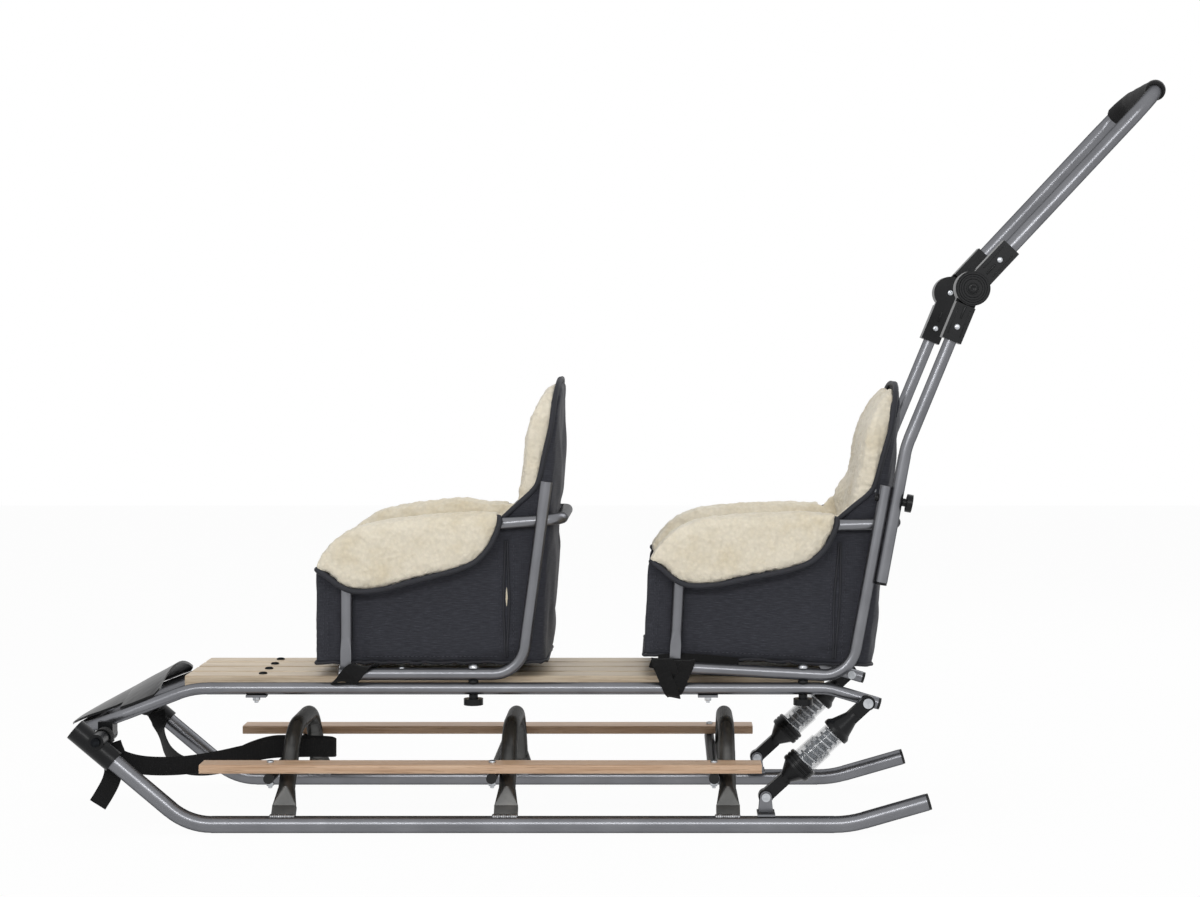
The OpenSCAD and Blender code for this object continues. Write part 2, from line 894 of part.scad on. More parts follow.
module seat_fleece(i) {
    out = cover_half - cloth_t - clear;
    inner = out - fleece_t;
    flap = hoop_half + seat_d / 2 + clear;
    color("antiquewhite")
        seat_at(i) {
            back_outline(out, fleece_top, fleece_round)
                union() {
                    for (s = sides)
                        side_plate(fleece_inner, s < 0 ? -out : inner, s < 0 ? -inner : out);
                    side_plate(fleece_back, -out, out);
                    translate([-232, -inner - 1, 14 + cloth_t + clear])
                        cube([310, 2 * inner + 2, 16]);
                }
            for (s = sides) {
                side_plate(
                    concat(arm_line, arm_under),
                    s < 0 ? -flap - 1 : inner,
                    s < 0 ? -inner : flap + 1
                );
                side_plate(
                    concat(arm_line, flap_line),
                    s < 0 ? -flap - fleece_t : flap,
                    s < 0 ? -flap : flap + fleece_t
                );
            }
        }
}

// Bolts through the seat and deck rails, each with a knob below
module seat_knobs() {
    under = deck_z - deck_d / 2 - clear;
    color("black")
        for (i = ends, s = sides)
            translate([seat_places[i][0], s * deck_half, 0]) {
                translate([0, 0, under - 10])
                    cylinder(r = bolt_r, h = seat_z + seat_d / 2 + 3 - under + 10);
                translate([0, 0, seat_z + seat_d / 2 + fit + tip(i, 13)])
                    cylinder(d = 13, h = 4);
                translate([0, 0, under - 6])
                    cylinder(d = 13.5, h = 6);
                translate([0, 0, under - 15])
                    cylinder(d = knob_d, h = 9.5);
            }
}

module seat_bushes() {
    color("black")
        for (i = ends, s = sides)
            translate([seat_places[i][0], s * deck_half, deck_top + fit])
                difference() {
                    cylinder(d = bush_d, h = seat_gap - 2 * fit - tip(i, bush_d));
                    translate([0, 0, -1])
                        cylinder(r = bolt_r + fit, h = seat_gap + 2);
                }
}

// Webbing tied round a seat rail's front end and the deck rail below it
module seat_webbing() {
    r = seat_d / 2 + clear;
    at = [for (p = seat_places) seat_z + tie_back * sin(p[1])];
    color("black")
        for (i = ends, s = sides)
            translate([seat_places[i][0] - tie_back - tie_w / 2, s * deck_half, 0])
                rotate([90, 0, 90])
                    linear_extrude(tie_w)
                        difference() {
                            web_ring(at[i] + 1, r + web_t);
                            web_ring(at[i] + 1, r);
                        }
}

module web_ring(high, r) {
    for (z = [deck_z - 0.2, high])
        translate([0, z])
            circle(r = r);
    translate([-r, deck_z])
        square([2 * r, high - deck_z]);
}

module push_bores(s) {
    a = in_plane(s * deck_half, knob_at - 40 * back_dir);
    rod(a, in_plane(s * deck_half, knob_at + 40 * back_dir), 6 + 2 * fit);
}

module push_tube(s) {
    y = s * deck_half;
    color("silver")
        difference() {
            tube(
                [
                    in_plane(y, push_low),
                    in_plane(y, push_bend),
                    in_plane(y, [hinge_x, hinge_z] - push_dir * tube_in)
                ],
                [0, 120, 0],
                push_d
            );
            push_bores(s);
        }
}

// Clamp bolts of the push tubes, each with a knob behind
module push_knobs() {
    rear = push_d / 2 + clear;
    color("black")
        for (s = sides) {
            y = s * deck_half;
            front = seat_d / 2 + push_from_upright + clear;
            rod(in_plane(y, knob_at - (front + 4) * back_dir), in_plane(y, knob_at + rear * back_dir), 6);
            rod(
                in_plane(y, knob_at - (front + 4) * back_dir),
                in_plane(y, knob_at - front * back_dir),
                11
            );
            rod(
                in_plane(y, knob_at + rear * back_dir),
                in_plane(y, knob_at + (rear + 6) * back_dir),
                12
            );
            rod(
                in_plane(y, knob_at + (rear + 5.5) * back_dir),
                in_plane(y, knob_at + (rear + 14) * back_dir),
                27
            );
            rod(
                in_plane(y, push_low - up_dir * plug_t),
                in_plane(y, push_low - up_dir * 0.05),
                push_d - 0.6
            );
        }
}

// One half of a hinge: a disc on its own side and a full sleeve beyond it
module hinge_half(from, to, low, high, tube_d) {
    hinge_r = hinge_d / 2;
    difference() {
        union() {
            across(0, 0, from, to, hinge_d);
            translate([0, from, -hinge_w / 2])
                cube([hinge_len, to - from, hinge_w]);
            translate([hinge_r + 1, low, -hinge_w / 2])
                cube([hinge_len - hinge_r - 1, high - low, hinge_w]);
        }
        translate([tube_in - 0.5, (low + high) / 2, 0])
            rotate([0, 90, 0])
                cylinder(d = tube_d + 2 * fit, h = hinge_len);
    }
}

module hinge_lower(s) {
    mid = s * deck_half;
    half = hinge_t / 2;
    from = s < 0 ? mid + clear / 2 : mid - half;
    to = s < 0 ? mid + half : mid - clear / 2;
    shank = s < 0 ? [mid - half - 3, mid + half - 1] : [mid - half + 1, mid + half + 3];
    button = s < 0 ? [mid - half - 3.5, mid - half - clear] : [mid + half + clear, mid + half + 3.5];
    color("black")
        translate([hinge_x, 0, hinge_z]) {
            rotate([0, 180 - push_angle, 0])
                hinge_half(from, to, mid - half, mid + half, push_d);
            across(0, 0, shank[0], shank[1], 2 * pin_r);
            across(0, 0, button[0], button[1], button_d);
        }
}

module hinge_upper(s) {
    mid = s * deck_half;
    half = hinge_t / 2;
    from = s < 0 ? mid - half : mid + clear / 2;
    to = s < 0 ? mid - clear / 2 : mid + half;
    color("black")
        translate([hinge_x, 0, hinge_z])
            difference() {
                rotate([0, -handle_angle, 0])
                    hinge_half(from, to, mid - half, mid + half, handle_d);
                across(0, 0, from - 2, to + 2, 2 * (pin_r + running));
            }
}

function handle_point(y, distance) = in_plane(y, [hinge_x, hinge_z] + handle_dir * distance);

module handle_tube() {
    color("silver")
        tube(
            [
                handle_point(-deck_half, tube_in),
                handle_point(-deck_half, handle_len),
                handle_point(deck_half, handle_len),
                handle_point(deck_half, tube_in)
            ],
            [0, handle_bend, handle_bend, 0],
            handle_d
        );
}

module grip_path(d, extra) {
    up = [handle_dir[0], 0, handle_dir[1]];
    bend_in = deck_half - handle_bend;
    bare = [grip_near, grip_far];
    lap = 0.6 / handle_bend * 180 / PI;
    rod(handle_point(-bend_in, handle_len), handle_point(bend_in, handle_len), d);
    for (i = ends)
        placed(
            handle_point(sides[i] * bend_in, handle_len - handle_bend),
            [0, sides[i], 0],
            up,
            cross([0, sides[i], 0], up)
        )
            rotate([0, 0, bare[i] - extra])
                rotate_extrude(angle = 90 - bare[i] + extra + lap)
                    translate([handle_bend, 0])
                        circle(d = d - bend_thin);
}

module grip() {
    color("black")
        difference() {
            grip_path(grip_d, 0);
            grip_path(handle_d + 2 * fit, 4);
        }
}

// Loops of the tow strap round the brackets, the near one with its hanging tail
module strap_wraps() {
    r = pivot_d / 2 + clear;
    color("black") {
        for (s = sides) {
            from = s < 0 ? -pivot_in - 22 : pivot_in + 1;
            translate([pivot_x, from, pivot_z])
                rotate([-90, 0, 0])
                    difference() {
                        cylinder(r = r + web_t, h = 21);
                        translate([0, 0, -1])
                            cylinder(r = r, h = 23);
                    }
        }
        translate([pivot_x, -pivot_in - 22, pivot_z - r - web_t])
            rotate([0, 8, 0])
                translate([-12, 0, -90])
                    cube([26, 2 * web_t + 1, 90.8]);
    }
}

// A flat band along the tow route, standing on its edge
module tow_strap() {
    n = len(tow_route);
    rings = [
        for (i = [0 : n - 1])
            let (
                t = unit(tow_route[min(i + 1, n - 1)] - tow_route[max(i - 1, 0)]),
                w = unit([0, 0, 1] - t[2] * t) * web_w / 2,
                o = unit(cross(t, w)) * web_t / 2
            )
                each [
                    tow_route[i] + w + o,
                    tow_route[i] + w - o,
                    tow_route[i] - w - o,
                    tow_route[i] - w + o
                ]
    ];
    walls = [
        for (i = [0 : n - 2], k = [0 : 3])
            let (a = 4 * i + k, b = 4 * i + (k + 1) % 4)
                each [[a, b, b + 4], [a, b + 4, a + 4]]
    ];
    caps = [[3, 2, 1, 0], [for (k = [0 : 3]) 4 * n - 4 + k]];
    color("black")
        polyhedron(rings, concat(walls, caps), convexity = 8);
}

runner(-1);  // runner_left
runner(1);  // runner_right
runner_plugs();
arch(0);  // arch_front
arch(1);  // arch_mid
arch(2);  // arch_rear
cross_bar(0);  // cross_bar_front
cross_bar(1);  // cross_bar_mid
cross_bar(2);  // cross_bar_rear
bar_plugs();
foot_slat(-1);  // foot_slat_left
foot_slat(1);  // foot_slat_right
deck_frame();
deck_plugs();
deck_slats();
deck_straps();
nose_plate();
front_bracket(-1);  // front_bracket_left
front_bracket(1);  // front_bracket_right
deck_clip(-1);  // deck_clip_left
deck_clip(1);  // deck_clip_right
pivot_bolts();
damper_lower(-1);  // damper_lower_left
damper_lower(1);  // damper_lower_right
damper_sleeve(-1);  // damper_sleeve_left
damper_sleeve(1);  // damper_sleeve_right
damper_spring(-1);  // damper_spring_left
damper_spring(1);  // damper_spring_right
damper_upper(-1);  // damper_upper_left
damper_upper(1);  // damper_upper_right
damper_lugs();
damper_bolts();
seat_rail(0, -1);  // seat_rail_front_left
seat_rail(0, 1);  // seat_rail_front_right
seat_rail(1, -1);  // seat_rail_rear_left
seat_rail(1, 1);  // seat_rail_rear_right
seat_hoop(0);  // seat_hoop_front
seat_hoop(1);  // seat_hoop_rear
seat_shell(0);  // seat_shell_front
seat_shell(1);  // seat_shell_rear
seat_fleece(0);  // seat_fleece_front
seat_fleece(1);  // seat_fleece_rear
seat_knobs();
seat_bushes();
seat_webbing();
push_tube(-1);  // push_tube_left
push_tube(1);  // push_tube_right
push_knobs();
hinge_lower(-1);  // hinge_lower_left
hinge_lower(1);  // hinge_lower_right
hinge_upper(-1);  // hinge_upper_left
hinge_upper(1);  // hinge_upper_right
handle_tube();
grip();
strap_wraps();
tow_strap();
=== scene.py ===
import bpy
import bmesh
import math
import random
import numpy as np
from mathutils import Matrix, Vector


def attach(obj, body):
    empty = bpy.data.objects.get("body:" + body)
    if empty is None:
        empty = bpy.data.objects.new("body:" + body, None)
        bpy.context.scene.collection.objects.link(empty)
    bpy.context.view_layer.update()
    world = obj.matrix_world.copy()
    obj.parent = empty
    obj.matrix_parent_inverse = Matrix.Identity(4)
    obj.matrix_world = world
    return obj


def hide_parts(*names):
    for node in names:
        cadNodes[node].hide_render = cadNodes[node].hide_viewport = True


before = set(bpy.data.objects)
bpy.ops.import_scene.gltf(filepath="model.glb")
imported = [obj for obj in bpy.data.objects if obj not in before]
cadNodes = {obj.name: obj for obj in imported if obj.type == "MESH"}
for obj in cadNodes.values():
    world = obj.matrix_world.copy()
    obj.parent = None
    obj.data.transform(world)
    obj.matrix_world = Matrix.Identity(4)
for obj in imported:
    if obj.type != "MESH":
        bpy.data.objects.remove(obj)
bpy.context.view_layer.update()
mm = 0.001
sides = (-1, 1)
scene = bpy.context.scene
scene.view_settings.view_transform = "Standard"
print("frame loaded,", len(cadNodes), "parts")


# small workbench helpers
def clearSelection():
    if bpy.context.object and bpy.context.object.mode != "OBJECT":
        bpy.ops.object.mode_set(mode="OBJECT")
    bpy.ops.object.select_all(action="DESELECT")


def pick(piece):
    clearSelection()
    piece.select_set(True)
    bpy.context.view_layer.objects.active = piece


def applyModifiers(piece):
    pick(piece)
    for modifier in list(piece.modifiers):
        bpy.ops.object.modifier_apply(modifier=modifier.name)


def applyPlace(piece):
    pick(piece)
    bpy.ops.object.transform_apply(location=True, rotation=True, scale=True)


def dress(piece, name, material, body="chassis"):
    piece.name = name
    piece.data.name = name
    piece.data.materials.clear()
    piece.data.materials.append(material)
    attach(piece, body)
    return piece


def newMesh(name, points, faces):
    mesh = bpy.data.meshes.new(name)
    mesh.from_pydata([tuple(p) for p in points], [], faces)
    mesh.update()
    piece = bpy.data.objects.new(name, mesh)
    scene.collection.objects.link(piece)
    return piece


def joinPieces(pieces, name):
    clearSelection()
    for piece in pieces:
        piece.select_set(True)
    bpy.context.view_layer.objects.active = pieces[0]
    bpy.ops.object.join()
    pieces[0].name = name
    return pieces[0]


def faceOutward(piece):
    pick(piece)
    bpy.ops.object.mode_set(mode="EDIT")
    bpy.ops.mesh.select_all(action="SELECT")
    bpy.ops.mesh.normals_make_consistent(inside=False)
    bpy.ops.object.mode_set(mode="OBJECT")


def lineLength(line):
    return sum((b - a).length for a, b in zip(line, line[1:]))


def rampUp(value, start, run):
    # 0 before the start, 1 once the run is over
    return min(1, max(0, (value - start) / run))


def smoothLine(points, steps, closed=False):
    # a smooth curve through the points
    points = [Vector(p) for p in points]
    count = len(points)
    line = []
    for i in range(count if closed else count - 1):
        places = [i - 1, i, i + 1, i + 2]
        near = [points[k % count if closed else min(max(k, 0), count - 1)] for k in places]
        for j in range(steps):
            t = j / steps
            line.append(
                0.5 * (2 * near[1] + (near[2] - near[0]) * t
                       + (2 * near[0] - 5 * near[1] + 4 * near[2] - near[3]) * t * t
                       + (3 * near[1] - near[0] - 3 * near[2] + near[3]) * t ** 3)
            )
    if not closed:
        line.append(points[-1])
    return line


# camera at the photograph's viewpoint
cameraSetup = {"place": (0.076, -3.6, 0.7103), "lens": 69.56, "shift": (-0.0542, -0.0821)}
clearSelection()
bpy.ops.object.camera_add(location=cameraSetup["place"], rotation=(math.pi / 2, 0, 0))
camera = bpy.context.object
camera.data.lens = cameraSetup["lens"]
camera.data.sensor_width = 36
camera.data.shift_x, camera.data.shift_y = cameraSetup["shift"]
scene.camera = camera


# colours and material nodes
def linear(hexText):
    channels = [int(hexText[i:i + 2], 16) / 255 for i in (1, 3, 5)]
    return [c / 12.92 if c <= 0.04045 else ((c + 0.055) / 1.055) ** 2.4 for c in channels] + [1]


def addNode(material, kind, settings=None, links=None):
    node = material.node_tree.nodes.new(kind)
    for key, value in (settings or {}).items():
        if key == "stops":
            ramp = node.color_ramp
            while len(ramp.elements) < len(value):
                ramp.elements.new(0.5)
            for element, (position, hexText) in zip(ramp.elements, value):
                element.position = position
                element.color = linear(hexText)
        elif isinstance(key, int) or key in node.inputs:
            node.inputs[key].default_value = value
        else:
            setattr(node, key, value)
    for key, (source, output) in (links or {}).items():
        material.node_tree.links.new(source.outputs[output], node.inputs[key])
    return node


def startMaterial(name, sockets):
    material = bpy.data.materials.new(name)
    material.use_nodes = True
    skin = material.node_tree.nodes["Principled BSDF"]
    for key, value in sockets.items():
        skin.inputs[key].default_value = value
    return material, skin


def connect(material, skin, links):
    for socket, (source, output) in links.items():
        material.node_tree.links.new(source.outputs[output], skin.inputs[socket])


def perMm(size):
    # texture scale for a feature of that many millimetres
    return 1000 / size


def makeMetal(name, stops, metallic, rough, cloudMm, grainMm, bumpMm, coat=0.0):
    # painted shade: the dark specular tint deepens the edges of round bars
    edgeShadeTint = linear("#1e1e20")
    material, skin = startMaterial(
        name, {"Metallic": metallic, "Coat Weight": coat, "Coat Roughness": 0.25, "Specular Tint": edgeShadeTint}
    )
    where = addNode(material, "ShaderNodeTexCoord")
    cloud = addNode(
        material, "ShaderNodeTexNoise", {"Scale": perMm(cloudMm), "Detail": 4.0},
        {"Vector": (where, "Object")}
    )
    tone = addNode(material, "ShaderNodeValToRGB", {"stops": stops}, {"Fac": (cloud, "Fac")})
    grain = addNode(
        material, "ShaderNodeTexNoise", {"Scale": perMm(grainMm), "Detail": 2.0},
        {"Vector": (where, "Object")}
    )
    gloss = addNode(
        material, "ShaderNodeMapRange", {"To Min": rough[0], "To Max": rough[1]}, {"Value": (grain, "Fac")}
    )
    bump = addNode(
        material, "ShaderNodeBump", {"Strength": 0.25, "Distance": bumpMm * mm}, {"Height": (grain, "Fac")}
    )
    connect(
        material, skin,
        {"Base Color": (tone, "Color"), "Roughness": (gloss, "Result"), "Normal": (bump, "Normal")}
    )
    return material


# silver lacquer over drawn steel tube: a bright line of light on an even grey
silverLacquer = makeMetal(
    "silver lacquered steel", [(0.3, "#717276"), (0.7, "#7e7f83")],
    0.88, (0.29, 0.305), 60, 9, 0.012, coat=0.1
)
# arch tube, bent hot and lacquered clear: darker than the tubes, slightly cloudy
archSteel = makeMetal(
    "clear lacquered bent steel", [(0.25, "#464645"), (0.55, "#575756"), (0.8, "#6e6d6b")],
    0.8, (0.3, 0.4), 45, 6, 0.04, coat=0.1
)
# bright zinc on screws, nuts and rivets: pale grey, slightly cloudy
zincPlate = makeMetal(
    "zinc plated steel", [(0.3, "#a9acb0"), (0.7, "#c9ccd0")], 1.0, (0.22, 0.4), 6, 1.2, 0.1
)
# plated spring wire: bright and satin, with a faint drawing grain
springWire = makeMetal(
    "chromed spring wire", [(0.3, "#e0e2e4"), (0.7, "#eff0f2")], 1.0, (0.36, 0.44), 12, 1.0, 0.02
)
# black oxide on the deck bolts and the pivots: dark, oily, slightly worn
blackedSteel = makeMetal(
    "black oxide steel", [(0.3, "#17181a"), (0.7, "#26282b")], 0.8, (0.3, 0.5), 5, 1.0, 0.1
)
# weld beads under the lacquer: a tone lighter than the tube as a painted highlight on their ripples, and less
# even
weldHighlightSteel = makeMetal(
    "lacquered weld bead", [(0.3, "#8c8d8f"), (0.7, "#aeafb1")], 0.85, (0.24, 0.4), 8, 1.5, 0.3
)


def makeMoulded(name, stops, rough, grainMm, bumpMm, specular=0.5):
    material, skin = startMaterial(name, {"Specular IOR Level": specular, "IOR": 1.53})
    where = addNode(material, "ShaderNodeTexCoord")
    cloud = addNode(
        material, "ShaderNodeTexNoise", {"Scale": perMm(40), "Detail": 3.0}, {"Vector": (where, "Object")}
    )
    tone = addNode(material, "ShaderNodeValToRGB", {"stops": stops}, {"Fac": (cloud, "Fac")})
    grain = addNode(
        material, "ShaderNodeTexNoise", {"Scale": perMm(grainMm), "Detail": 3.0, "Roughness": 0.6},
        {"Vector": (where, "Object")}
    )
    gloss = addNode(
        material, "ShaderNodeMapRange", {"To Min": rough[0], "To Max": rough[1]}, {"Value": (cloud, "Fac")}
    )
    bump = addNode(
        material, "ShaderNodeBump", {"Strength": 0.35, "Distance": bumpMm * mm}, {"Height": (grain, "Fac")}
    )
    connect(
        material, skin,
        {"Base Color": (tone, "Color"), "Roughness": (gloss, "Result"), "Normal": (bump, "Normal")}
    )
    return material


# glass-filled nylon mouldings: near black, satin, fine spark-eroded grain drawn at 1.2 mm to show
blackNylon = makeMoulded(
    "black moulded nylon", [(0.3, "#0a0b0d"), (0.7, "#111214")], (0.28, 0.38), 1.2, 0.05, 0.2
)
# soft polyethylene end plugs: duller black
blackPlug = makeMoulded(
    "black polyethylene", [(0.3, "#0c0d0e"), (0.7, "#141516")], (0.5, 0.62), 1.0, 0.08, 0.3
)
# closed-cell foam: matt black with fine pores
foamRubber = makeMoulded(
    "closed cell foam", [(0.3, "#101011"), (0.7, "#1a1a1b")], (0.7, 0.85), 1.8, 0.4, 0.25
)
# woven binding tape along the fabric edges: dark, nearly matt, finely ribbed
bindingTape = makeMoulded(
    "woven binding tape", [(0.3, "#202126"), (0.7, "#2a2b31")], (0.62, 0.8), 1.5, 0.3, 0.35
)
# polyester sewing thread: dark grey, a little paler than the cloth
sewingThread = makeMoulded(
    "polyester thread", [(0.3, "#3c3d44"), (0.7, "#4a4b52")], (0.7, 0.85), 1.0, 0.1, 0.3
)


def makeClear():
    # extruded clear sleeve: a faint grey cast, lightly scuffed; its alpha lets light reach the spring
    material, skin = startMaterial(
        "clear polycarbonate",
        {"Base Color": linear("#7a7f85"), "Alpha": 0.2, "IOR": 1.58, "Specular IOR Level": 1.0}
    )
    where = addNode(material, "ShaderNodeTexCoord")
    scuff = addNode(
        material, "ShaderNodeTexNoise", {"Scale": perMm(9), "Detail": 5.0}, {"Vector": (where, "Object")}
    )
    gloss = addNode(
        material, "ShaderNodeMapRange", {"To Min": 0.06, "To Max": 0.16}, {"Value": (scuff, "Fac")}
    )
    connect(material, skin, {"Roughness": (gloss, "Result")})
    return material


clearSleeve = makeClear()
# hazy grey polypropylene of the tube that guides each spring; its dark grey is painted shade inside the
# sleeve, behind the near turns
guideShadePlastic = makeMoulded(
    "hazy polypropylene with painted shade", [(0.3, "#54585d"), (0.7, "#63676c")], (0.4, 0.55), 2.0, 0.05, 0.4
)


def makeWood(name, stops, growthMm, poreTone):
    # planed hardwood, clear oiled: long growth lines, short dark pores, satin sheen
    material, skin = startMaterial(name, {"IOR": 1.5, "Coat Weight": 0.12, "Coat Roughness": 0.35})
    where = addNode(material, "ShaderNodeTexCoord")
    spread = addNode(
        material, "ShaderNodeMapping", {"Scale": (0.035, 1.0, 1.0)}, {"Vector": (where, "Object")}
    )
    growth = addNode(
        material, "ShaderNodeTexNoise",
        {"Scale": perMm(growthMm), "Detail": 5.0, "Roughness": 0.55, "Distortion": 0.5},
        {"Vector": (spread, "Vector")}
    )
    tone = addNode(material, "ShaderNodeValToRGB", {"stops": stops}, {"Fac": (growth, "Fac")})
    fleck = addNode(
        material, "ShaderNodeTexNoise", {"Scale": perMm(1.3), "Detail": 2.0}, {"Vector": (spread, "Vector")}
    )
    pores = addNode(
        material, "ShaderNodeMapRange", {"From Min": 0.6, "From Max": 0.75}, {"Value": (fleck, "Fac")}
    )
    board = addNode(
        material, "ShaderNodeTexNoise", {"Scale": perMm(55), "Detail": 1.0}, {"Vector": (spread, "Vector")}
    )
    shade = addNode(
        material, "ShaderNodeMapRange", {"To Min": 0.86, "To Max": 1.1}, {"Value": (board, "Fac")}
    )
    boardTone = addNode(
        material, "ShaderNodeHueSaturation", {}, {"Color": (tone, "Color"), "Value": (shade, "Result")}
    )
    mixed = addNode(
        material, "ShaderNodeMix", {"data_type": "RGBA", 7: linear(poreTone)},
        {0: (pores, "Result"), 6: (boardTone, "Color")}
    )
    gloss = addNode(
        material, "ShaderNodeMapRange", {"To Min": 0.38, "To Max": 0.6}, {"Value": (growth, "Fac")}
    )
    bump = addNode(
        material, "ShaderNodeBump", {"Strength": 0.3, "Distance": 0.3 * mm}, {"Height": (fleck, "Fac")}
    )
    connect(
        material, skin, {"Base Color": (mixed, 2), "Roughness": (gloss, "Result"), "Normal": (bump, "Normal")}
    )
    return material


deckWood = makeWood(
    "oiled beech deck", [(0.3, "#a8937a"), (0.48, "#c4b299"), (0.62, "#d3c4ad"), (0.8, "#bba78d")],
    4.5, "#8f7a61"
)
footWood = makeWood(
    "oiled beech foot slat", [(0.3, "#aa8768"), (0.5, "#c1a083"), (0.65, "#cdb094"), (0.8, "#b69579")],
    6, "#94755a"
)


def makeCloth(name, stops, threadMm, slubMm, sheen, bumpMm):
    # woven polyester on its own UV map, which is in metres: u runs with the weft
    material, skin = startMaterial(
        name, {"Roughness": 0.88, "Specular IOR Level": 0.25, "Sheen Weight": sheen, "Sheen Roughness": 0.45}
    )
    where = addNode(material, "ShaderNodeTexCoord")
    weftRun = addNode(material, "ShaderNodeMapping", {"Scale": (0.09, 1.0, 1.0)}, {"Vector": (where, "UV")})
    slub = addNode(
        material, "ShaderNodeTexNoise", {"Scale": perMm(slubMm), "Detail": 4.0, "Roughness": 0.7},
        {"Vector": (weftRun, "Vector")}
    )
    tone = addNode(material, "ShaderNodeValToRGB", {"stops": stops}, {"Fac": (slub, "Fac")})
    weft, warp = [
        addNode(
            material, "ShaderNodeTexWave",
            {"bands_direction": direction, "Scale": perMm(threadMm) / 6.28, "Distortion": 0.6},
            {"Vector": (where, "UV")}
        ) for direction in "YX"
    ]
    weave = addNode(
        material, "ShaderNodeMath", {"operation": "MULTIPLY"}, {0: (weft, "Fac"), 1: (warp, "Fac")}
    )
    rise = addNode(material, "ShaderNodeMath", {"operation": "ADD"}, {0: (weave, "Value"), 1: (slub, "Fac")})
    bump = addNode(
        material, "ShaderNodeBump", {"Strength": 0.5, "Distance": bumpMm * mm}, {"Height": (rise, "Value")}
    )
    connect(material, skin, {"Base Color": (tone, "Color"), "Normal": (bump, "Normal")})
    return material


# melange polyester: charcoal with paler weft slubs; the 0.4 mm thread is drawn at 1.4 mm to show
charcoalCloth = makeCloth(
    "charcoal melange polyester", [(0.3, "#2a2b31"), (0.5, "#33343a"), (0.62, "#3b3c43"), (0.78, "#4b4c54")],
    1.4, 1.3, 0.1, 0.2
)
# nylon webbing: black, ribbed across its width
webbingNylon = makeCloth(
    "black nylon webbing", [(0.3, "#070707"), (0.7, "#141415")], 1.6, 2.0, 0.08, 0.35
)


def makeFleece():
    # curled wool pile: matt cream, 6 mm curls, with painted light on the tips and painted shade in the
    # hollows between the curls
    material, skin = startMaterial(
        "cream sherpa fleece",
        {"Roughness": 0.95, "Specular IOR Level": 0.12, "Sheen Weight": 0.35, "Sheen Roughness": 0.6}
    )
    where = addNode(material, "ShaderNodeTexCoord")
    curls = addNode(
        material, "ShaderNodeTexVoronoi", {"feature": "SMOOTH_F1", "Scale": perMm(6), "Smoothness": 0.6},
        {"Vector": (where, "Object")}
    )
    fluff = addNode(
        material, "ShaderNodeTexNoise", {"Scale": perMm(2.6), "Detail": 5.0, "Roughness": 0.7},
        {"Vector": (where, "Object")}
    )
    patch = addNode(
        material, "ShaderNodeTexNoise", {"Scale": perMm(70), "Detail": 4.0, "Roughness": 0.65},
        {"Vector": (where, "Object")}
    )
    rise = addNode(
        material, "ShaderNodeMath", {"operation": "SUBTRACT"}, {0: (fluff, "Fac"), 1: (curls, "Distance")}
    )
    tone = addNode(
        material, "ShaderNodeValToRGB",
        {"stops": [(0.3, "#d8ccb2"), (0.5, "#e0d7c3"), (0.7, "#e6decc")]}, {"Fac": (patch, "Fac")}
    )
    # painted shade: darker in the hollows between the curls, lighter on their tips
    paintedCurlShade = addNode(
        material, "ShaderNodeMapRange", {"From Min": -0.35, "From Max": 0.35, "To Min": 0.93, "To Max": 1.04},
        {"Value": (rise, "Value")}
    )
    curlShadedTone = addNode(
        material, "ShaderNodeHueSaturation", {}, {"Color": (tone, "Color"), "Value": (paintedCurlShade, "Result")}
    )
    bump = addNode(
        material, "ShaderNodeBump", {"Strength": 0.5, "Distance": 2.0 * mm}, {"Height": (rise, "Value")}
    )
    connect(material, skin, {"Base Color": (curlShadedTone, "Color"), "Normal": (bump, "Normal")})
    return material


creamFleece = makeFleece()

# each finish with the starts of the names of its parts
finishes = {
    silverLacquer: [
        "runner_left", "runner_right", "deck_frame", "cross_bar", "seat_rail", "seat_hoop", "push_tube",
        "handle_tube", "damper_lugs", "deck_straps"
    ],
    archSteel: ["arch"],
    blackNylon: [
        "nose_plate", "front_bracket", "deck_clip", "damper_lower", "damper_upper", "seat_knobs",
        "push_knobs", "hinge"
    ],
    blackPlug: ["runner_plugs", "bar_plugs", "deck_plugs", "seat_bushes"],
    clearSleeve: ["damper_sleeve"],
    springWire: ["damper_spring"],
    zincPlate: ["damper_bolts"],
    blackedSteel: ["pivot_bolts"],
    deckWood: ["deck_slats"],
    footWood: ["foot_slat"],
    foamRubber: ["grip"],
    charcoalCloth: ["seat_shell"],
    creamFleece: ["seat_fleece"],
    webbingNylon: ["seat_webbing", "strap_wraps", "tow_strap"],
}
for material, starts in finishes.items():
    for name, part in cadNodes.items():
        if name.startswith(tuple(starts)):
            part.data.materials.clear()
            part.data.materials.append(material)
            pick(part)
            bpy.ops.object.shade_smooth_by_angle(angle=math.radians(32))
print("materials on the frame")


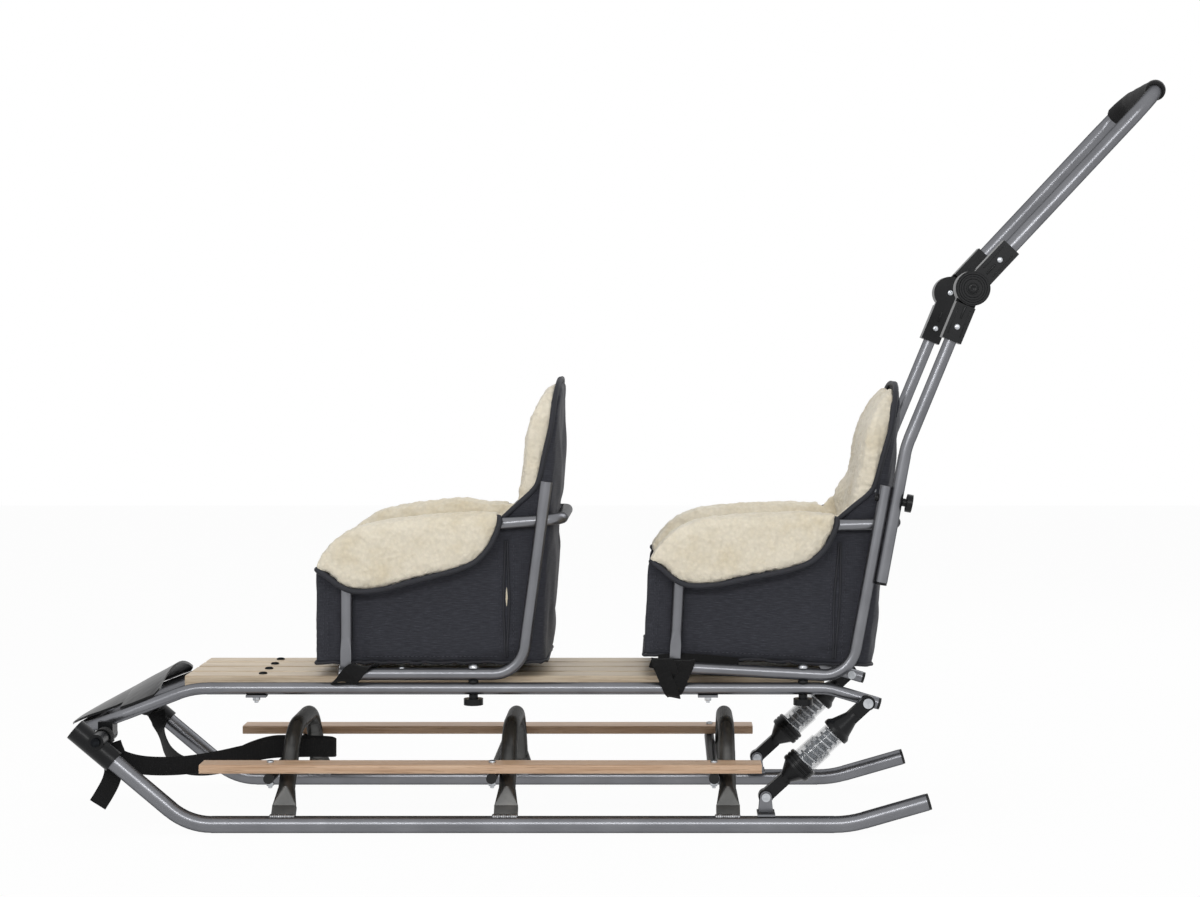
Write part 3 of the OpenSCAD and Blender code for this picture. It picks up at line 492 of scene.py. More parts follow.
# flat webbing: rings of a rounded band, its UV map in metres along the band
def makeBand(name, line, widths, width, thick):
    half, edge = width / 2, thick / 2
    turned, level = half - edge * 0.4, half - edge * 1.4
    section = [
        (-half, 0), (-turned, edge * 0.8), (-level, edge), (0, edge), (level, edge), (turned, edge * 0.8),
        (half, 0), (turned, -edge * 0.8), (level, -edge), (0, -edge), (-level, -edge), (-turned, -edge * 0.8)
    ]
    count, points, run, runs = len(section), [], 0, []
    for i, centre in enumerate(line):
        ahead = (line[min(i + 1, len(line) - 1)] - line[max(i - 1, 0)]).normalized()
        side = (widths[i] - ahead * widths[i].dot(ahead)).normalized()
        out = ahead.cross(side).normalized()
        points += [centre + side * a + out * b for a, b in section]
        run += (centre - line[i - 1]).length if i else 0
        runs.append(run)
    faces = []
    for i in range(len(line) - 1):
        for k in range(count):
            a, b = i * count + k, i * count + (k + 1) % count
            faces.append((a, b, b + count, a + count))
    last = (len(line) - 1) * count
    faces += [tuple(reversed(range(count))), tuple(last + k for k in range(count))]
    band = newMesh(name, points, faces)
    layer = band.data.uv_layers.new(name="UVMap")
    for polygon in band.data.polygons:
        for loop in polygon.loop_indices:
            vertex = band.data.loops[loop].vertex_index
            layer.data[loop].uv = (section[vertex % count][0], runs[vertex // count])
    faceOutward(band)
    bpy.ops.object.shade_smooth_by_angle(angle=math.radians(40))
    return band


# tow strap: the route of the source, from bracket to bracket over the front cross bar
towSetup = {
    "route": [
        (-747, -149.7, 126), (-742, -149.7, 112), (-734, -149, 101), (-700, -143, 91),
        (-650, -128, 88), (-600, -106, 92), (-560, -86, 98), (-525, -70, 102.4), (-490, -60, 102.4),
        (-455, -54, 102), (-438, -49, 101), (-430, -41, 100), (-432, -32, 100), (-440, -26, 101),
        (-460, -26, 102), (-490, -27, 102.4), (-525, -26, 102.4), (-560, -20, 92), (-600, -4, 72),
        (-640, 20, 60), (-680, 54, 56), (-708, 92, 62), (-726, 124, 74), (-737, 145, 93),
        (-743, 149.7, 112), (-747, 149.7, 126)
    ],
    "width": 0.028, "thick": 0.002
}
towLine = smoothLine([Vector(p) * mm for p in towSetup["route"]], 6)
towStrap = makeBand(
    "towStrap", towLine, [Vector((0, 0, 1))] * len(towLine), towSetup["width"], towSetup["thick"]
)
dress(towStrap, "towStrap", webbingNylon)
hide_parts("tow_strap")

# seats: both are one sewn pattern, placed by the bolt of each seat rail
seatSetup = {
    "places": {"front": (-210, 0), "rear": (282, 3)}, "boltHeight": 226.6,
    "halfWidth": 110, "floor": 14, "back": [(14, 107), (436, 132)], "frontX": -239, "rearCorner": 28,
    "topEdge": [
        (-241, 153), (-226, 156), (-210, 168), (-178, 191), (-140, 204), (-60, 211), (30, 219), (44, 231),
        (64, 250), (86, 270), (96, 287), (105, 328), (114, 367)
    ],
    "crown": 437, "crownRadius": 70, "rim": (14, 7), "lip": 54, "lipRise": 99, "lipRun": 34,
    "step": 8, "rows": 30
}


def seatFrame(name):
    x, recline = seatSetup["places"][name]
    place = Matrix.Translation((x * mm, 0, seatSetup["boltHeight"] * mm))
    return place @ Matrix.Rotation(math.radians(recline), 4, "Y")


def along(table, value):
    return float(np.interp(value, [row[0] for row in table], [row[1] for row in table]))


def crownHeight(y):
    radius = seatSetup["crownRadius"]
    corner = min(max(0, abs(y) - (seatSetup["halfWidth"] - radius)), radius)
    return seatSetup["crown"] - radius + math.sqrt(radius ** 2 - corner ** 2)


def coverColumns():
    # top and bottom of each column, once round the cover from its front left corner
    half, front, step = seatSetup["halfWidth"], seatSetup["frontX"], seatSetup["step"]
    floorZ = seatSetup["floor"]
    backX = along(seatSetup["back"], floorZ)
    sideCount = round((backX - front) / step)
    endCount = round(2 * half / step)
    edge = seatSetup["topEdge"]
    columns = []

    def addSide(label, share, y):
        topX = edge[0][0] + share * (edge[-1][0] - edge[0][0])
        columns.append((label, (front + share * (backX - front), y), (topX, along(edge, topX))))

    for i in range(sideCount):
        addSide("left", i / sideCount, -half)
    for i in range(endCount):
        y = -half + 2 * half * i / endCount
        top = crownHeight(y)
        columns.append(("back", (backX, y), (along(seatSetup["back"], top), top)))
    for i in range(sideCount):
        addSide("right", 1 - i / sideCount, half)
    for i in range(endCount):
        y = half - 2 * half * i / endCount
        rise = max(0, 1 - (half - abs(y)) / seatSetup["lipRun"])
        columns.append(("front", (front, y), (front, seatSetup["lip"] + seatSetup["lipRise"] * rise ** 2)))
    return columns, sideCount, endCount


def roundCorner(x, y, z):
    # the cover's rear corners follow the bend of the hoop
    radius = seatSetup["rearCorner"]
    dx = x - (along(seatSetup["back"], z) - radius)
    dy = abs(y) - (seatSetup["halfWidth"] - radius)
    if dx > 0 and dy > 0:
        reach = max(dx, dy) / math.hypot(dx, dy)
        x -= dx * (1 - reach)
        y -= math.copysign(dy * (1 - reach), y)
    return Vector((x, y, z))


def makeCover(name):
    columns, sideCount, endCount = coverColumns()
    rows, floorZ = seatSetup["rows"], seatSetup["floor"]
    place = seatFrame(name)
    corners = (0, sideCount, sideCount + endCount, 2 * sideCount + endCount)
    points, marks, pinned = [], [], []
    run = 0
    for index, (side, (x, y), (topX, topZ)) in enumerate(columns):
        if index:
            run += (Vector((x, y)) - Vector(columns[index - 1][1])).length
        for row in range(rows + 1):
            v = row / rows
            z = floorZ + (topZ - floorZ) * v
            at = x + (topX - x) * v
            if side == "back":
                # the last rows turn forward into the gusset's rim
                plain = rows - 3
                turn = max(0, row - plain)
                below = (plain - min(row, plain)) / plain * (topZ - 5 - floorZ)
                z = topZ - (0.4, 1.6, 5, 5)[3 - turn] - below
                wide, slim = seatSetup["rim"]
                inside = (seatSetup["halfWidth"] - abs(y)) / seatSetup["crownRadius"]
                rim = wide + (slim - wide) * min(1, inside)
                at = along(seatSetup["back"], z) - rim * (0, 0.12, 0.5, 1)[turn]
            points.append(roundCorner(at, y, z))
            marks.append((run, z))
            pinned.append(row in (0, rows) or index in corners)
    faces = []
    total, tall = len(columns), rows + 1
    for c in range(total):
        for row in range(rows):
            a, b = c * tall + row, (c + 1) % total * tall + row
            faces.append((a, b, b + 1, a + 1))

    def ring(c):
        return c % total * tall

    # the bottom panel shares the cover's lowest ring
    grid = {}
    for i in range(sideCount + 1):
        for j in range(endCount + 1):
            if j == 0:
                grid[i, j] = ring(i)
            elif j == endCount:
                grid[i, j] = ring(2 * sideCount + endCount - i)
            elif i == sideCount:
                grid[i, j] = ring(sideCount + j)
            elif i == 0:
                grid[i, j] = ring(2 * sideCount + 2 * endCount - j)
            else:
                a, b = points[ring(i)], points[ring(2 * sideCount + endCount - i)]
                c, d = points[ring(2 * sideCount + 2 * endCount - j)], points[ring(sideCount + j)]
                u, v = i / sideCount, j / endCount
                e, f = points[ring(0)], points[ring(sideCount)]
                g, h = points[ring(2 * sideCount + endCount)], points[ring(sideCount + endCount)]
                grid[i, j] = len(points)
                points.append(a.lerp(b, v) + c.lerp(d, u) - e.lerp(f, u) * (1 - v) - g.lerp(h, u) * v)
                marks.append((points[-1].y, points[-1].x))
                pinned.append(True)
    for i in range(sideCount):
        for j in range(endCount):
            faces.append((grid[i, j], grid[i, j + 1], grid[i + 1, j + 1], grid[i + 1, j]))
    cover = newMesh(name + "Cover", [place @ (p * mm) for p in points], faces)
    layer = cover.data.uv_layers.new(name="UVMap")
    length = run + seatSetup["step"]
    for polygon in cover.data.polygons:
        us = [marks[v] for v in polygon.vertices]
        wrap = max(u for u, _ in us) - min(u for u, _ in us) > length / 2
        for loop, (u, v) in zip(polygon.loop_indices, us):
            layer.data[loop].uv = ((u + length if wrap and u < length / 2 else u) * mm, v * mm)
    faceOutward(cover)
    return cover, pinned


def settleCloth(piece, pinned, settings):
    # one short cloth run, kept within a cap, then made part of the mesh
    rest = np.array([v.co for v in piece.data.vertices])
    if pinned is not None:
        group = piece.vertex_groups.new(name="sewn")
        group.add([i for i, fixed in enumerate(pinned) if fixed], 1.0, "REPLACE")
    cloth = piece.modifiers.new("cloth", "CLOTH")
    cloth.settings.quality = settings["quality"]
    cloth.settings.mass = settings["mass"]
    cloth.settings.tension_stiffness = cloth.settings.compression_stiffness = settings["stiff"]
    cloth.settings.bending_stiffness = settings["bend"]
    cloth.settings.shrink_min = settings["shrink"]
    cloth.settings.use_pressure = settings["pressure"] != 0
    cloth.settings.uniform_pressure_force = settings["pressure"]
    cloth.settings.effector_weights.gravity = settings["gravity"]
    cloth.collision_settings.use_self_collision = False
    cloth.collision_settings.use_collision = False
    if pinned is not None:
        cloth.settings.vertex_group_mass = "sewn"
    cloth.point_cache.frame_start = 1
    cloth.point_cache.frame_end = settings["frames"]
    for number in range(1, settings["frames"] + 1):
        scene.frame_set(number)
    shape = piece.evaluated_get(bpy.context.evaluated_depsgraph_get())
    moved = np.array([v.co for v in shape.data.vertices])
    scene.frame_set(1)
    piece.modifiers.remove(cloth)
    if pinned is not None:
        piece.vertex_groups.clear()
    return rest, moved


coverCloth = {
    "mass": 0.3, "stiff": 25, "bend": 0.8, "shrink": -0.008, "pressure": 0.25, "gravity": 0.6, "frames": 22,
    "quality": 5, "wall": 0.0022, "seed": {"front": 11, "rear": 12}, "outCap": 5, "inCap": 2.5,
    # near the frame's tubes the cloth may swell only by the tube cap
    "tubeCap": 0.3, "legX": -192, "legClear": 26, "hoopZ": 184, "hoopY": 80, "hoopTop": 250
}


def finishCover(name):
    cover, pinned = makeCover(name)
    rng = random.Random(coverCloth["seed"][name])
    unplace = seatFrame(name).inverted()
    for vertex, fixed in zip(cover.data.vertices, pinned):
        if not fixed:
            vertex.co += vertex.normal * rng.uniform(-0.4, 0.4) * mm
    rest, moved = settleCloth(cover, pinned, coverCloth)
    normals = [v.normal.copy() for v in cover.data.vertices]
    for vertex, a, b, normal in zip(cover.data.vertices, rest, moved, normals):
        shift = Vector(b - a)
        local = unplace @ Vector(a) / mm
        near = abs(local.x - coverCloth["legX"]) < coverCloth["legClear"] or local.z > coverCloth["hoopZ"]
        near = near and (abs(local.y) > coverCloth["hoopY"] or local.z < coverCloth["hoopTop"])
        most = coverCloth["tubeCap" if near else "outCap"] * mm
        out = shift.dot(normal)
        out = max(-coverCloth["inCap"] * mm, min(most, out)) - out
        vertex.co = Vector(a) + shift + normal * out
    soften = cover.modifiers.new("soften", "SUBSURF")
    soften.levels = soften.render_levels = 1
    wall = cover.modifiers.new("wall", "SOLIDIFY")
    wall.thickness = coverCloth["wall"]
    wall.offset = -1
    wall.use_even_offset = True
    applyModifiers(cover)
    bpy.ops.object.shade_smooth()
    return cover


fleeceCloth = {
    "mass": 0.3, "stiff": 12, "bend": 0.5, "shrink": 0.0, "pressure": 4.0, "gravity": 0.0, "frames": 9,
    "quality": 3, "voxel": 5.0, "cap": 4.5,
    # name, texture, size in metres, depth in mm
    "tufts": [("tuft", "CLOUDS", 0.016, 3.4), ("curl", "VORONOI", 0.0075, 2.6)],
    # start and run of each ramp over the far arm, then of the flare beside the back
    "armZ": (185, 55), "armY": (60, 30), "armFront": (-235, 60), "armRear": (-5, 40),
    "plump": {"front": 9, "rear": 0},
    "flareZ": (258, 44), "flareY": (35, 55), "flareX": 90, "flare": {"front": 0, "rear": 14}
}
liningSetup = {
    "armY": 116, "wallY": 100.5, "frontX": -232, "backGap": 6, "floorZ": 18,
    "crownZ": 300, "crownRun": 24, "crownDip": 3
}


def keepInside(fleece, place):
    # the lining stays within the cover's walls wherever it lies below their top edge
    unplace = place.inverted()
    corner, gap = seatSetup["rearCorner"], liningSetup["backGap"]
    for vertex in fleece.data.vertices:
        x, y, z = unplace @ vertex.co / mm
        backX = along(seatSetup["back"], z)
        wide = abs(y)
        if wide > liningSetup["armY"]:
            continue
        if x > backX - liningSetup["crownRun"] and z > liningSetup["crownZ"]:
            ahead = max(0, backX - seatSetup["rim"][0] - x)
            z = min(z, crownHeight(wide) - liningSetup["crownDip"] + ahead * 0.5)
        if z < along(seatSetup["topEdge"], x) - 2 and x > liningSetup["frontX"]:
            wide = min(wide, liningSetup["wallY"])
        if z < crownHeight(wide) + 4:
            x = min(x, backX - gap)
            dx, dy = x - (backX - corner), wide - (seatSetup["halfWidth"] - corner)
            if dx > 0 and dy > 0 and math.hypot(dx, dy) > corner - gap:
                fall = (corner - gap) / math.hypot(dx, dy)
                x, wide = x - dx * (1 - fall), wide - dy * (1 - fall)
        vertex.co = place @ (Vector((x, math.copysign(wide, y), max(z, liningSetup["floorZ"]))) * mm)


def plumpArm(fleece, place, name):
    # the front seat's far arm is stuffed fuller, the rear seat's far corner stands forward
    unplace = place.inverted()
    plump, flare = fleeceCloth["plump"][name], fleeceCloth["flare"][name]
    flareMiddle, flareReach = fleeceCloth["flareZ"]
    for vertex in fleece.data.vertices:
        x, y, z = unplace @ vertex.co / mm
        rise = rampUp(z, *fleeceCloth["armZ"]) * rampUp(y, *fleeceCloth["armY"])
        rise *= rampUp(x, *fleeceCloth["armFront"]) * rampUp(-x, *fleeceCloth["armRear"])
        ahead = (1 + math.cos(math.pi * rampUp(abs(z - flareMiddle), 0, flareReach))) / 2
        ahead *= (1 - math.cos(math.pi * rampUp(y, *fleeceCloth["flareY"]))) / 2
        ahead *= x < fleeceCloth["flareX"]
        vertex.co = place @ (Vector((x - flare * ahead, y, z + plump * rise)) * mm)


def finishFleece(name):
    # pile lining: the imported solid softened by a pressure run, then curled
    source = cadNodes["seat_fleece_" + name]
    fleece = source.copy()
    fleece.data = source.data.copy()
    fleece.parent = None
    for key in list(fleece.keys()):
        del fleece[key]
    scene.collection.objects.link(fleece)
    pick(fleece)
    bpy.ops.object.mode_set(mode="EDIT")
    bpy.ops.mesh.select_all(action="SELECT")
    bpy.ops.mesh.remove_doubles(threshold=1e-5)
    bpy.ops.object.mode_set(mode="OBJECT")
    fleece.data.remesh_voxel_size = fleeceCloth["voxel"] * mm
    bpy.ops.object.voxel_remesh()
    soften = fleece.modifiers.new("soften", "SMOOTH")
    soften.factor, soften.iterations = 0.5, 4
    applyModifiers(fleece)
    rest, moved = settleCloth(fleece, None, fleeceCloth)
    shift = moved - rest
    size = np.linalg.norm(shift, axis=1, keepdims=True)
    shift *= np.minimum(1, fleeceCloth["cap"] * mm / np.maximum(size, 1e-9))
    for vertex, a in zip(fleece.data.vertices, rest + shift):
        vertex.co = a
    made = fleece.modifiers.new("finer", "SUBSURF")
    made.levels = made.render_levels = 1
    for label, kind, size, depth in fleeceCloth["tufts"]:
        texture = bpy.data.textures.get(label) or bpy.data.textures.new(label, kind)
        texture.noise_scale = size
        curl = fleece.modifiers.new(label, "DISPLACE")
        curl.texture, curl.texture_coords = texture, "LOCAL"
        curl.strength, curl.mid_level = depth * mm, 0.5
    applyModifiers(fleece)
    place = seatFrame(name)
    plumpArm(fleece, place, name)
    keepInside(fleece, place)
    pick(fleece)
    bpy.ops.object.shade_smooth()
    return fleece


def makePiping(name, path, radius, steps=6, closed=False):
    # cord in a folded tape, swept as a round curve and made a mesh
    line = smoothLine(path, steps, closed)
    curve = bpy.data.curves.new(name, "CURVE")
    curve.dimensions = "3D"
    curve.bevel_depth = radius
    curve.bevel_resolution = 3
    curve.use_fill_caps = not closed
    spline = curve.splines.new("POLY")
    spline.use_cyclic_u = closed
    spline.points.add(len(line) - 1)
    for point, at in zip(spline.points, line):
        point.co = (*at, 1)
    piece = bpy.data.objects.new(name, curve)
    scene.collection.objects.link(piece)
    pick(piece)
    bpy.ops.object.convert(target="MESH")
    piece = bpy.context.object
    bpy.ops.object.shade_smooth()
    return piece


pipingSetup = {
    "radius": 0.0042,
    "flap": [
        (16, 110, 210), (28, 118, 224), (36, 129, 233), (39, 137, 230), (37, 140.5, 219), (25, 141, 192),
        (3, 141, 168), (-30, 141.5, 154), (-90, 142, 138.5), (-136, 142, 126.5), (-175, 141.5, 123.5),
        (-197, 140.5, 130), (-218, 139.5, 145), (-231, 137, 153), (-235, 129, 155), (-230, 116, 150),
        (-220, 106, 142)
    ],
    "back": [
        (24, 98, 212), (34, 106, 221), (44, 109.5, 232), (64, 109.5, 251), (86, 109.5, 271), (96, 109.5, 288),
        (105, 109.5, 329), (114, 109.5, 367), (117.5, 105, 393.5), (120.5, 92, 415), (123, 72, 430.5),
        (124.5, 40, 438), (124.8, 20, 438.5), (124.8, 0, 438.5)
    ]
}

sewingSetup = {
    "hemRadius": 2.5, "hemWave": 1.3, "hemSeed": {"front": 31, "rear": 32},
    "stitch": 4.2, "gap": 2.4, "thread": 0.55,
    "rows": [
        [(-227, 24), (-227, 138)], [(-221, 24), (-221, 132)], [(-228, 23), (36, 23)], [(58, 23), (84, 23)],
        [(38, 28), (38, 150), (33, 186)], [(58, 28), (58, 196)]
    ],
    "slitX": 47, "slit": (22, 196), "slitGape": 2.6, "opening": (98, 126)
}


def coverPoint(cover, place, side, x, z):
    # where a needle pushed straight in from the side meets the cloth
    aim = place.to_3x3() @ Vector((0, -side, 0))
    found, point, normal, _ = cover.ray_cast(place @ (Vector((x, side * 118, z)) * mm), aim)
    return (point, normal) if found else (None, None)


def makeStitches(cover, place):
    points, faces = [], []
    step = sewingSetup["stitch"] + sewingSetup["gap"]
    for side in sides:
        for row in sewingSetup["rows"]:
            for (x0, z0), (x1, z1) in zip(row, row[1:]):
                run = math.hypot(x1 - x0, z1 - z0)
                for i in range(int(run / step)):
                    ends = []
                    for d in (i * step, i * step + sewingSetup["stitch"]):
                        x, z = x0 + (x1 - x0) * d / run, z0 + (z1 - z0) * d / run
                        ends.append(coverPoint(cover, place, side, x, z))
                    (a, normal), (b, _) = ends
                    if a is None or b is None or (b - a).length > 8 * mm:
                        continue
                    across = (b - a).cross(normal).normalized()
                    first = len(points)
                    for share, size in ((0.0, 0.3), (0.25, 1.0), (0.75, 1.0), (1.0, 0.3)):
                        middle = a.lerp(b, share) + normal * (0.35 * mm)
                        reach = sewingSetup["thread"] * size * mm
                        points += [middle + way * reach for way in (across, normal, -across, -normal)]
                    for ring in range(3):
                        for k in range(4):
                            p, q = first + ring * 4 + k, first + ring * 4 + (k + 1) % 4
                            faces.append((p, q, q + 4, p + 4))
                    faces.append((first + 3, first + 2, first + 1, first))
                    faces.append(tuple(first + 12 + k for k in range(4)))
    thread = newMesh("thread", points, faces)
    faceOutward(thread)
    bpy.ops.object.shade_smooth()
    return thread


def makeSlit(cover, place, side):
    # side slit: two rolled lips that part over the lining
    low, high = sewingSetup["slit"]
    pieces = []
    for lip in (-1, 1):
        path = []
        for i in range(13):
            t = i / 12
            x = sewingSetup["slitX"] + lip * (1.6 + sewingSetup["slitGape"] * math.sin(math.pi * t) ** 2)
            point, normal = coverPoint(cover, place, side, x, low + (high - low) * t)
            path.append(point + normal * (0.5 * mm))
        pieces.append(makePiping("slitLip", path, 1.9 * mm, 3))
    return pieces


def makeOpening(cover, place, side):
    # a sliver of the lining between the lips
    low, high = sewingSetup["opening"]
    line = []
    for i in range(9):
        point, normal = coverPoint(cover, place, side, sewingSetup["slitX"] + 0.4, low + (high - low) * i / 8)
        line.append(point + normal * (0.4 * mm))
    widths = [place.to_3x3() @ Vector((1, 0, 0))] * len(line)
    sliver = makeBand("liningSliver", line, widths, 3.0 * mm, 1.0 * mm)
    for vertex in sliver.data.vertices:
        i = vertex.index // 12
        vertex.co = line[i] + (vertex.co - line[i]) * (0.15 + 0.85 * math.sin(math.pi * i / 8))
    return sliver


def makeHem(name, place):
    half, front = seatSetup["halfWidth"], seatSetup["frontX"]
    rng = random.Random(sewingSetup["hemSeed"][name])
    rear = along(seatSetup["back"], seatSetup["floor"])
    corners = [(front, -half), (rear, -half), (rear, half), (front, half)]
    path = []
    for (x0, y0), (x1, y1) in zip(corners, corners[1:] + corners[:1]):
        count = round(math.hypot(x1 - x0, y1 - y0) / 9)
        for i in range(count):
            x, y = x0 + (x1 - x0) * i / count, y0 + (y1 - y0) * i / count
            point = roundCorner(x, y, seatSetup["floor"])
            point.z += rng.uniform(-1, 1) * sewingSetup["hemWave"] - 0.5
            path.append(place @ (point * mm))
    return makePiping("bottomHem", path, sewingSetup["hemRadius"] * mm, 4, True)


for name in ("front", "rear"):
    place = seatFrame(name)
    cover = finishCover(name)
    dress(cover, name + "SeatCover", charcoalCloth)
    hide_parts("seat_shell_" + name)
    fleece = finishFleece(name)
    dress(fleece, name + "SeatFleece", creamFleece)
    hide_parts("seat_fleece_" + name)
    bindings = []
    for side in sides:
        path = [place @ (Vector((x, side * y, z)) * mm) for x, y, z in pipingSetup["flap"]]
        bindings.append(makePiping("flapPiping", path, pipingSetup["radius"]))
    path = [(x, -y, z) for x, y, z in pipingSetup["back"]] + pipingSetup["back"][-2::-1]
    path = [place @ (Vector(p) * mm) for p in path]
    bindings.append(makePiping("backPiping", path, pipingSetup["radius"]))
    bpy.context.view_layer.update()
    for side in sides:
        bindings += makeSlit(cover, place, side)
    bindings.append(makeHem(name, place))
    thread = dress(makeStitches(cover, place), name + "SeatThread", sewingThread)
    binding = joinPieces(bindings, name + "SeatBinding")
    dress(binding, name + "SeatBinding", bindingTape)
    if name == "front":  # its slits gape a little
        slivers = joinPieces([makeOpening(cover, place, side) for side in sides], name + "SeatSliver")
        dress(slivers, name + "SeatSliver", creamFleece)
    print(name, "seat sewn", len(cover.data.polygons), len(fleece.data.polygons))


# hardware: each master is modelled once, then copied with its own mesh
def selectTop(piece):
    mesh = bmesh.from_edit_mesh(piece.data)
    top = max(face.calc_center_median().z for face in mesh.faces)
    for face in mesh.faces:
        face.select_set(face.normal.z > 0.9 and face.calc_center_median().z > top - 1e-6)
    bmesh.update_edit_mesh(piece.data)


def startRound(count, radius, depth):
    clearSelection()
    bpy.ops.mesh.primitive_cylinder_add(
        vertices=count, radius=radius * mm, depth=depth * mm, location=(0, 0, depth / 2 * mm)
    )
    piece = bpy.context.object
    applyPlace(piece)
    bpy.ops.object.mode_set(mode="EDIT")
    bpy.ops.mesh.select_mode(type="FACE")
    return piece


def stepTop(piece, steps):
    # each step: rise in mm, then the new top's share of the old one's width
    for rise, share in steps:
        selectTop(piece)
        bpy.ops.mesh.extrude_region_move(TRANSFORM_OT_translate={"value": (0, 0, rise * mm)})
        bpy.ops.transform.resize(value=(share, share, 1), center_override=(0, 0, 0))


def insetTop(steps):
    # each step: rim width and depth in mm
    for rim, rise in steps:
        bpy.ops.mesh.inset(thickness=rim * mm, depth=0)
        bpy.ops.mesh.extrude_region_move(TRANSFORM_OT_translate={"value": (0, 0, rise * mm)})


def slopeTop(steps):
    # each step: ring width and how far the ring climbs, in mm
    for ring, rise in steps:
        bpy.ops.mesh.inset(thickness=ring * mm, depth=rise * mm)


def endMaster(piece, angle=35):
    bpy.ops.object.mode_set(mode="OBJECT")
    pick(piece)
    bpy.ops.object.shade_smooth_by_angle(angle=math.radians(angle))
    return piece


def domeHead(radius, height):
    piece = startRound(28, radius, height * 0.25)
    stepTop(piece, [(height * 0.3, 0.93), (height * 0.22, 0.84), (height * 0.15, 0.72), (height * 0.08, 0.5)])
    return endMaster(piece, 60)


def socketHead(radius, height):
    piece = startRound(28, radius, height * 0.5)
    stepTop(piece, [(height * 0.35, 0.94), (height * 0.15, 0.78)])
    insetTop([(radius * 0.28, -height * 0.55)])
    return endMaster(piece)


def hexNut(radius, height):
    piece = startRound(6, radius, height * 0.85)
    stepTop(piece, [(height * 0.15, 0.9)])
    insetTop([(radius * 0.3, height * 0.55)])
    stepTop(piece, [(height * 0.1, 0.85)])
    return endMaster(piece)


def weldBead(radius):
    clearSelection()
    bpy.ops.mesh.primitive_uv_sphere_add(segments=12, ring_count=8, radius=radius * mm)
    piece = bpy.context.object
    bpy.ops.object.mode_set(mode="EDIT")
    bpy.ops.mesh.select_all(action="SELECT")
    bpy.ops.mesh.bisect(
        plane_co=(0, 0, -radius * 0.4 * mm), plane_no=(0, 0, 1), use_fill=True, clear_inner=True
    )
    bpy.ops.mesh.select_all(action="SELECT")
    bpy.ops.transform.resize(value=(0.75, 1.2, 0.8), center_override=(0, 0, 0))
    return endMaster(piece, 60)


def setCopies(master, places, name, material, body="chassis"):
    # places: point in mm, outward direction, optional size
    copies = []
    for point, out, *rest in places:
        size = rest[0] if rest else 1.0
        turn = Vector(out).normalized().to_track_quat("Z", "Y").to_matrix().to_4x4()
        copy = master.copy()
        copy.data = master.data.copy()
        copy.matrix_world = Matrix.Translation(Vector(point) * mm) @ turn @ Matrix.Scale(size, 4)
        scene.collection.objects.link(copy)
        copies.append(copy)
    bpy.data.objects.remove(master)
    piece = joinPieces(copies, name)
    applyPlace(piece)
    return dress(piece, name, material, body)


boltSetup = {
    "strapX": (-534, 140), "slatY": (-81, -27, 27, 81), "slatTop": 219, "strapLow": 192.2, "railY": 138,
    "barX": (-506.8, -179.3, 148.2), "footY": 177, "footTop": 101.3, "barLow": 72,
    "seatX": (-210, 282), "seatHeadZ": 235.3, "spareX": (-317,), "stud": (94, 278)
}


def onBothSides(distances, y, z, up):
    return [((x, s * y, z), (0, 0, up)) for x in distances for s in sides]


setCopies(
    domeHead(6.5, 3.2),
    [((x, y, boltSetup["slatTop"]), (0, 0, 1)) for x in boltSetup["strapX"] for y in boltSetup["slatY"]],
    "deckBolts", blackedSteel
)
setCopies(
    socketHead(5.2, 3.4), onBothSides(boltSetup["barX"], boltSetup["footY"], boltSetup["footTop"], 1),
    "footBolts", zincPlate
)
setCopies(
    hexNut(5.8, 5),
    onBothSides(boltSetup["barX"], boltSetup["footY"], boltSetup["barLow"], -1)
    + onBothSides(boltSetup["strapX"], boltSetup["railY"], boltSetup["strapLow"], -1),
    "frameNuts", zincPlate
)
setCopies(
    domeHead(7.4, 6.6), onBothSides(boltSetup["seatX"], boltSetup["railY"], boltSetup["seatHeadZ"], 1),
    "seatBoltHeads", zincPlate
)
setCopies(
    domeHead(4.6, 2.4), onBothSides(boltSetup["spareX"], boltSetup["railY"], boltSetup["seatHeadZ"], 1),
    "seatRailRivets", zincPlate
)
studPlaces = []
rearCover = bpy.data.objects["rearSeatCover"]
for s in sides:
    point, normal = coverPoint(rearCover, seatFrame("rear"), s, *boltSetup["stud"])
    studPlaces.append((point / mm - normal * 0.4, normal))
setCopies(domeHead(3.8, 2.4), studPlaces, "coverStuds", zincPlate)
print("fasteners set")

# hazy guide tube inside each damper spring, its dark grey painted shade behind the near turns
guideSetup = {"pin": (225, 166, 50), "start": 61.2, "length": 81.2, "radius": 10.9}


def springGuide(radius, length):
    piece = startRound(40, radius * 0.94, 1.2)
    stepTop(piece, [(0.8, 1 / 0.94), (length - 4, 1.0), (0.8, 0.94), (1.2, 1.0)])
    insetTop([(2.4, -6)])
    return endMaster(piece)


guidePlaces = []
for s, label in zip(sides, ("left", "right")):
    shell = cadNodes["damper_sleeve_" + label]
    corners = [shell.matrix_world @ v.co for v in shell.data.vertices]
    centre = sum(corners, Vector()) / len(corners)
    x, y, z = guideSetup["pin"]
    pin = Vector((x, s * y, z))
    ahead = centre / mm - pin
    ahead = Vector((ahead.x, 0, ahead.z)).normalized()
    guidePlaces.append((pin + ahead * guideSetup["start"], ahead))
setCopies(
    springGuide(guideSetup["radius"], guideSetup["length"]), guidePlaces,
    "springGuides", guideShadePlastic
)

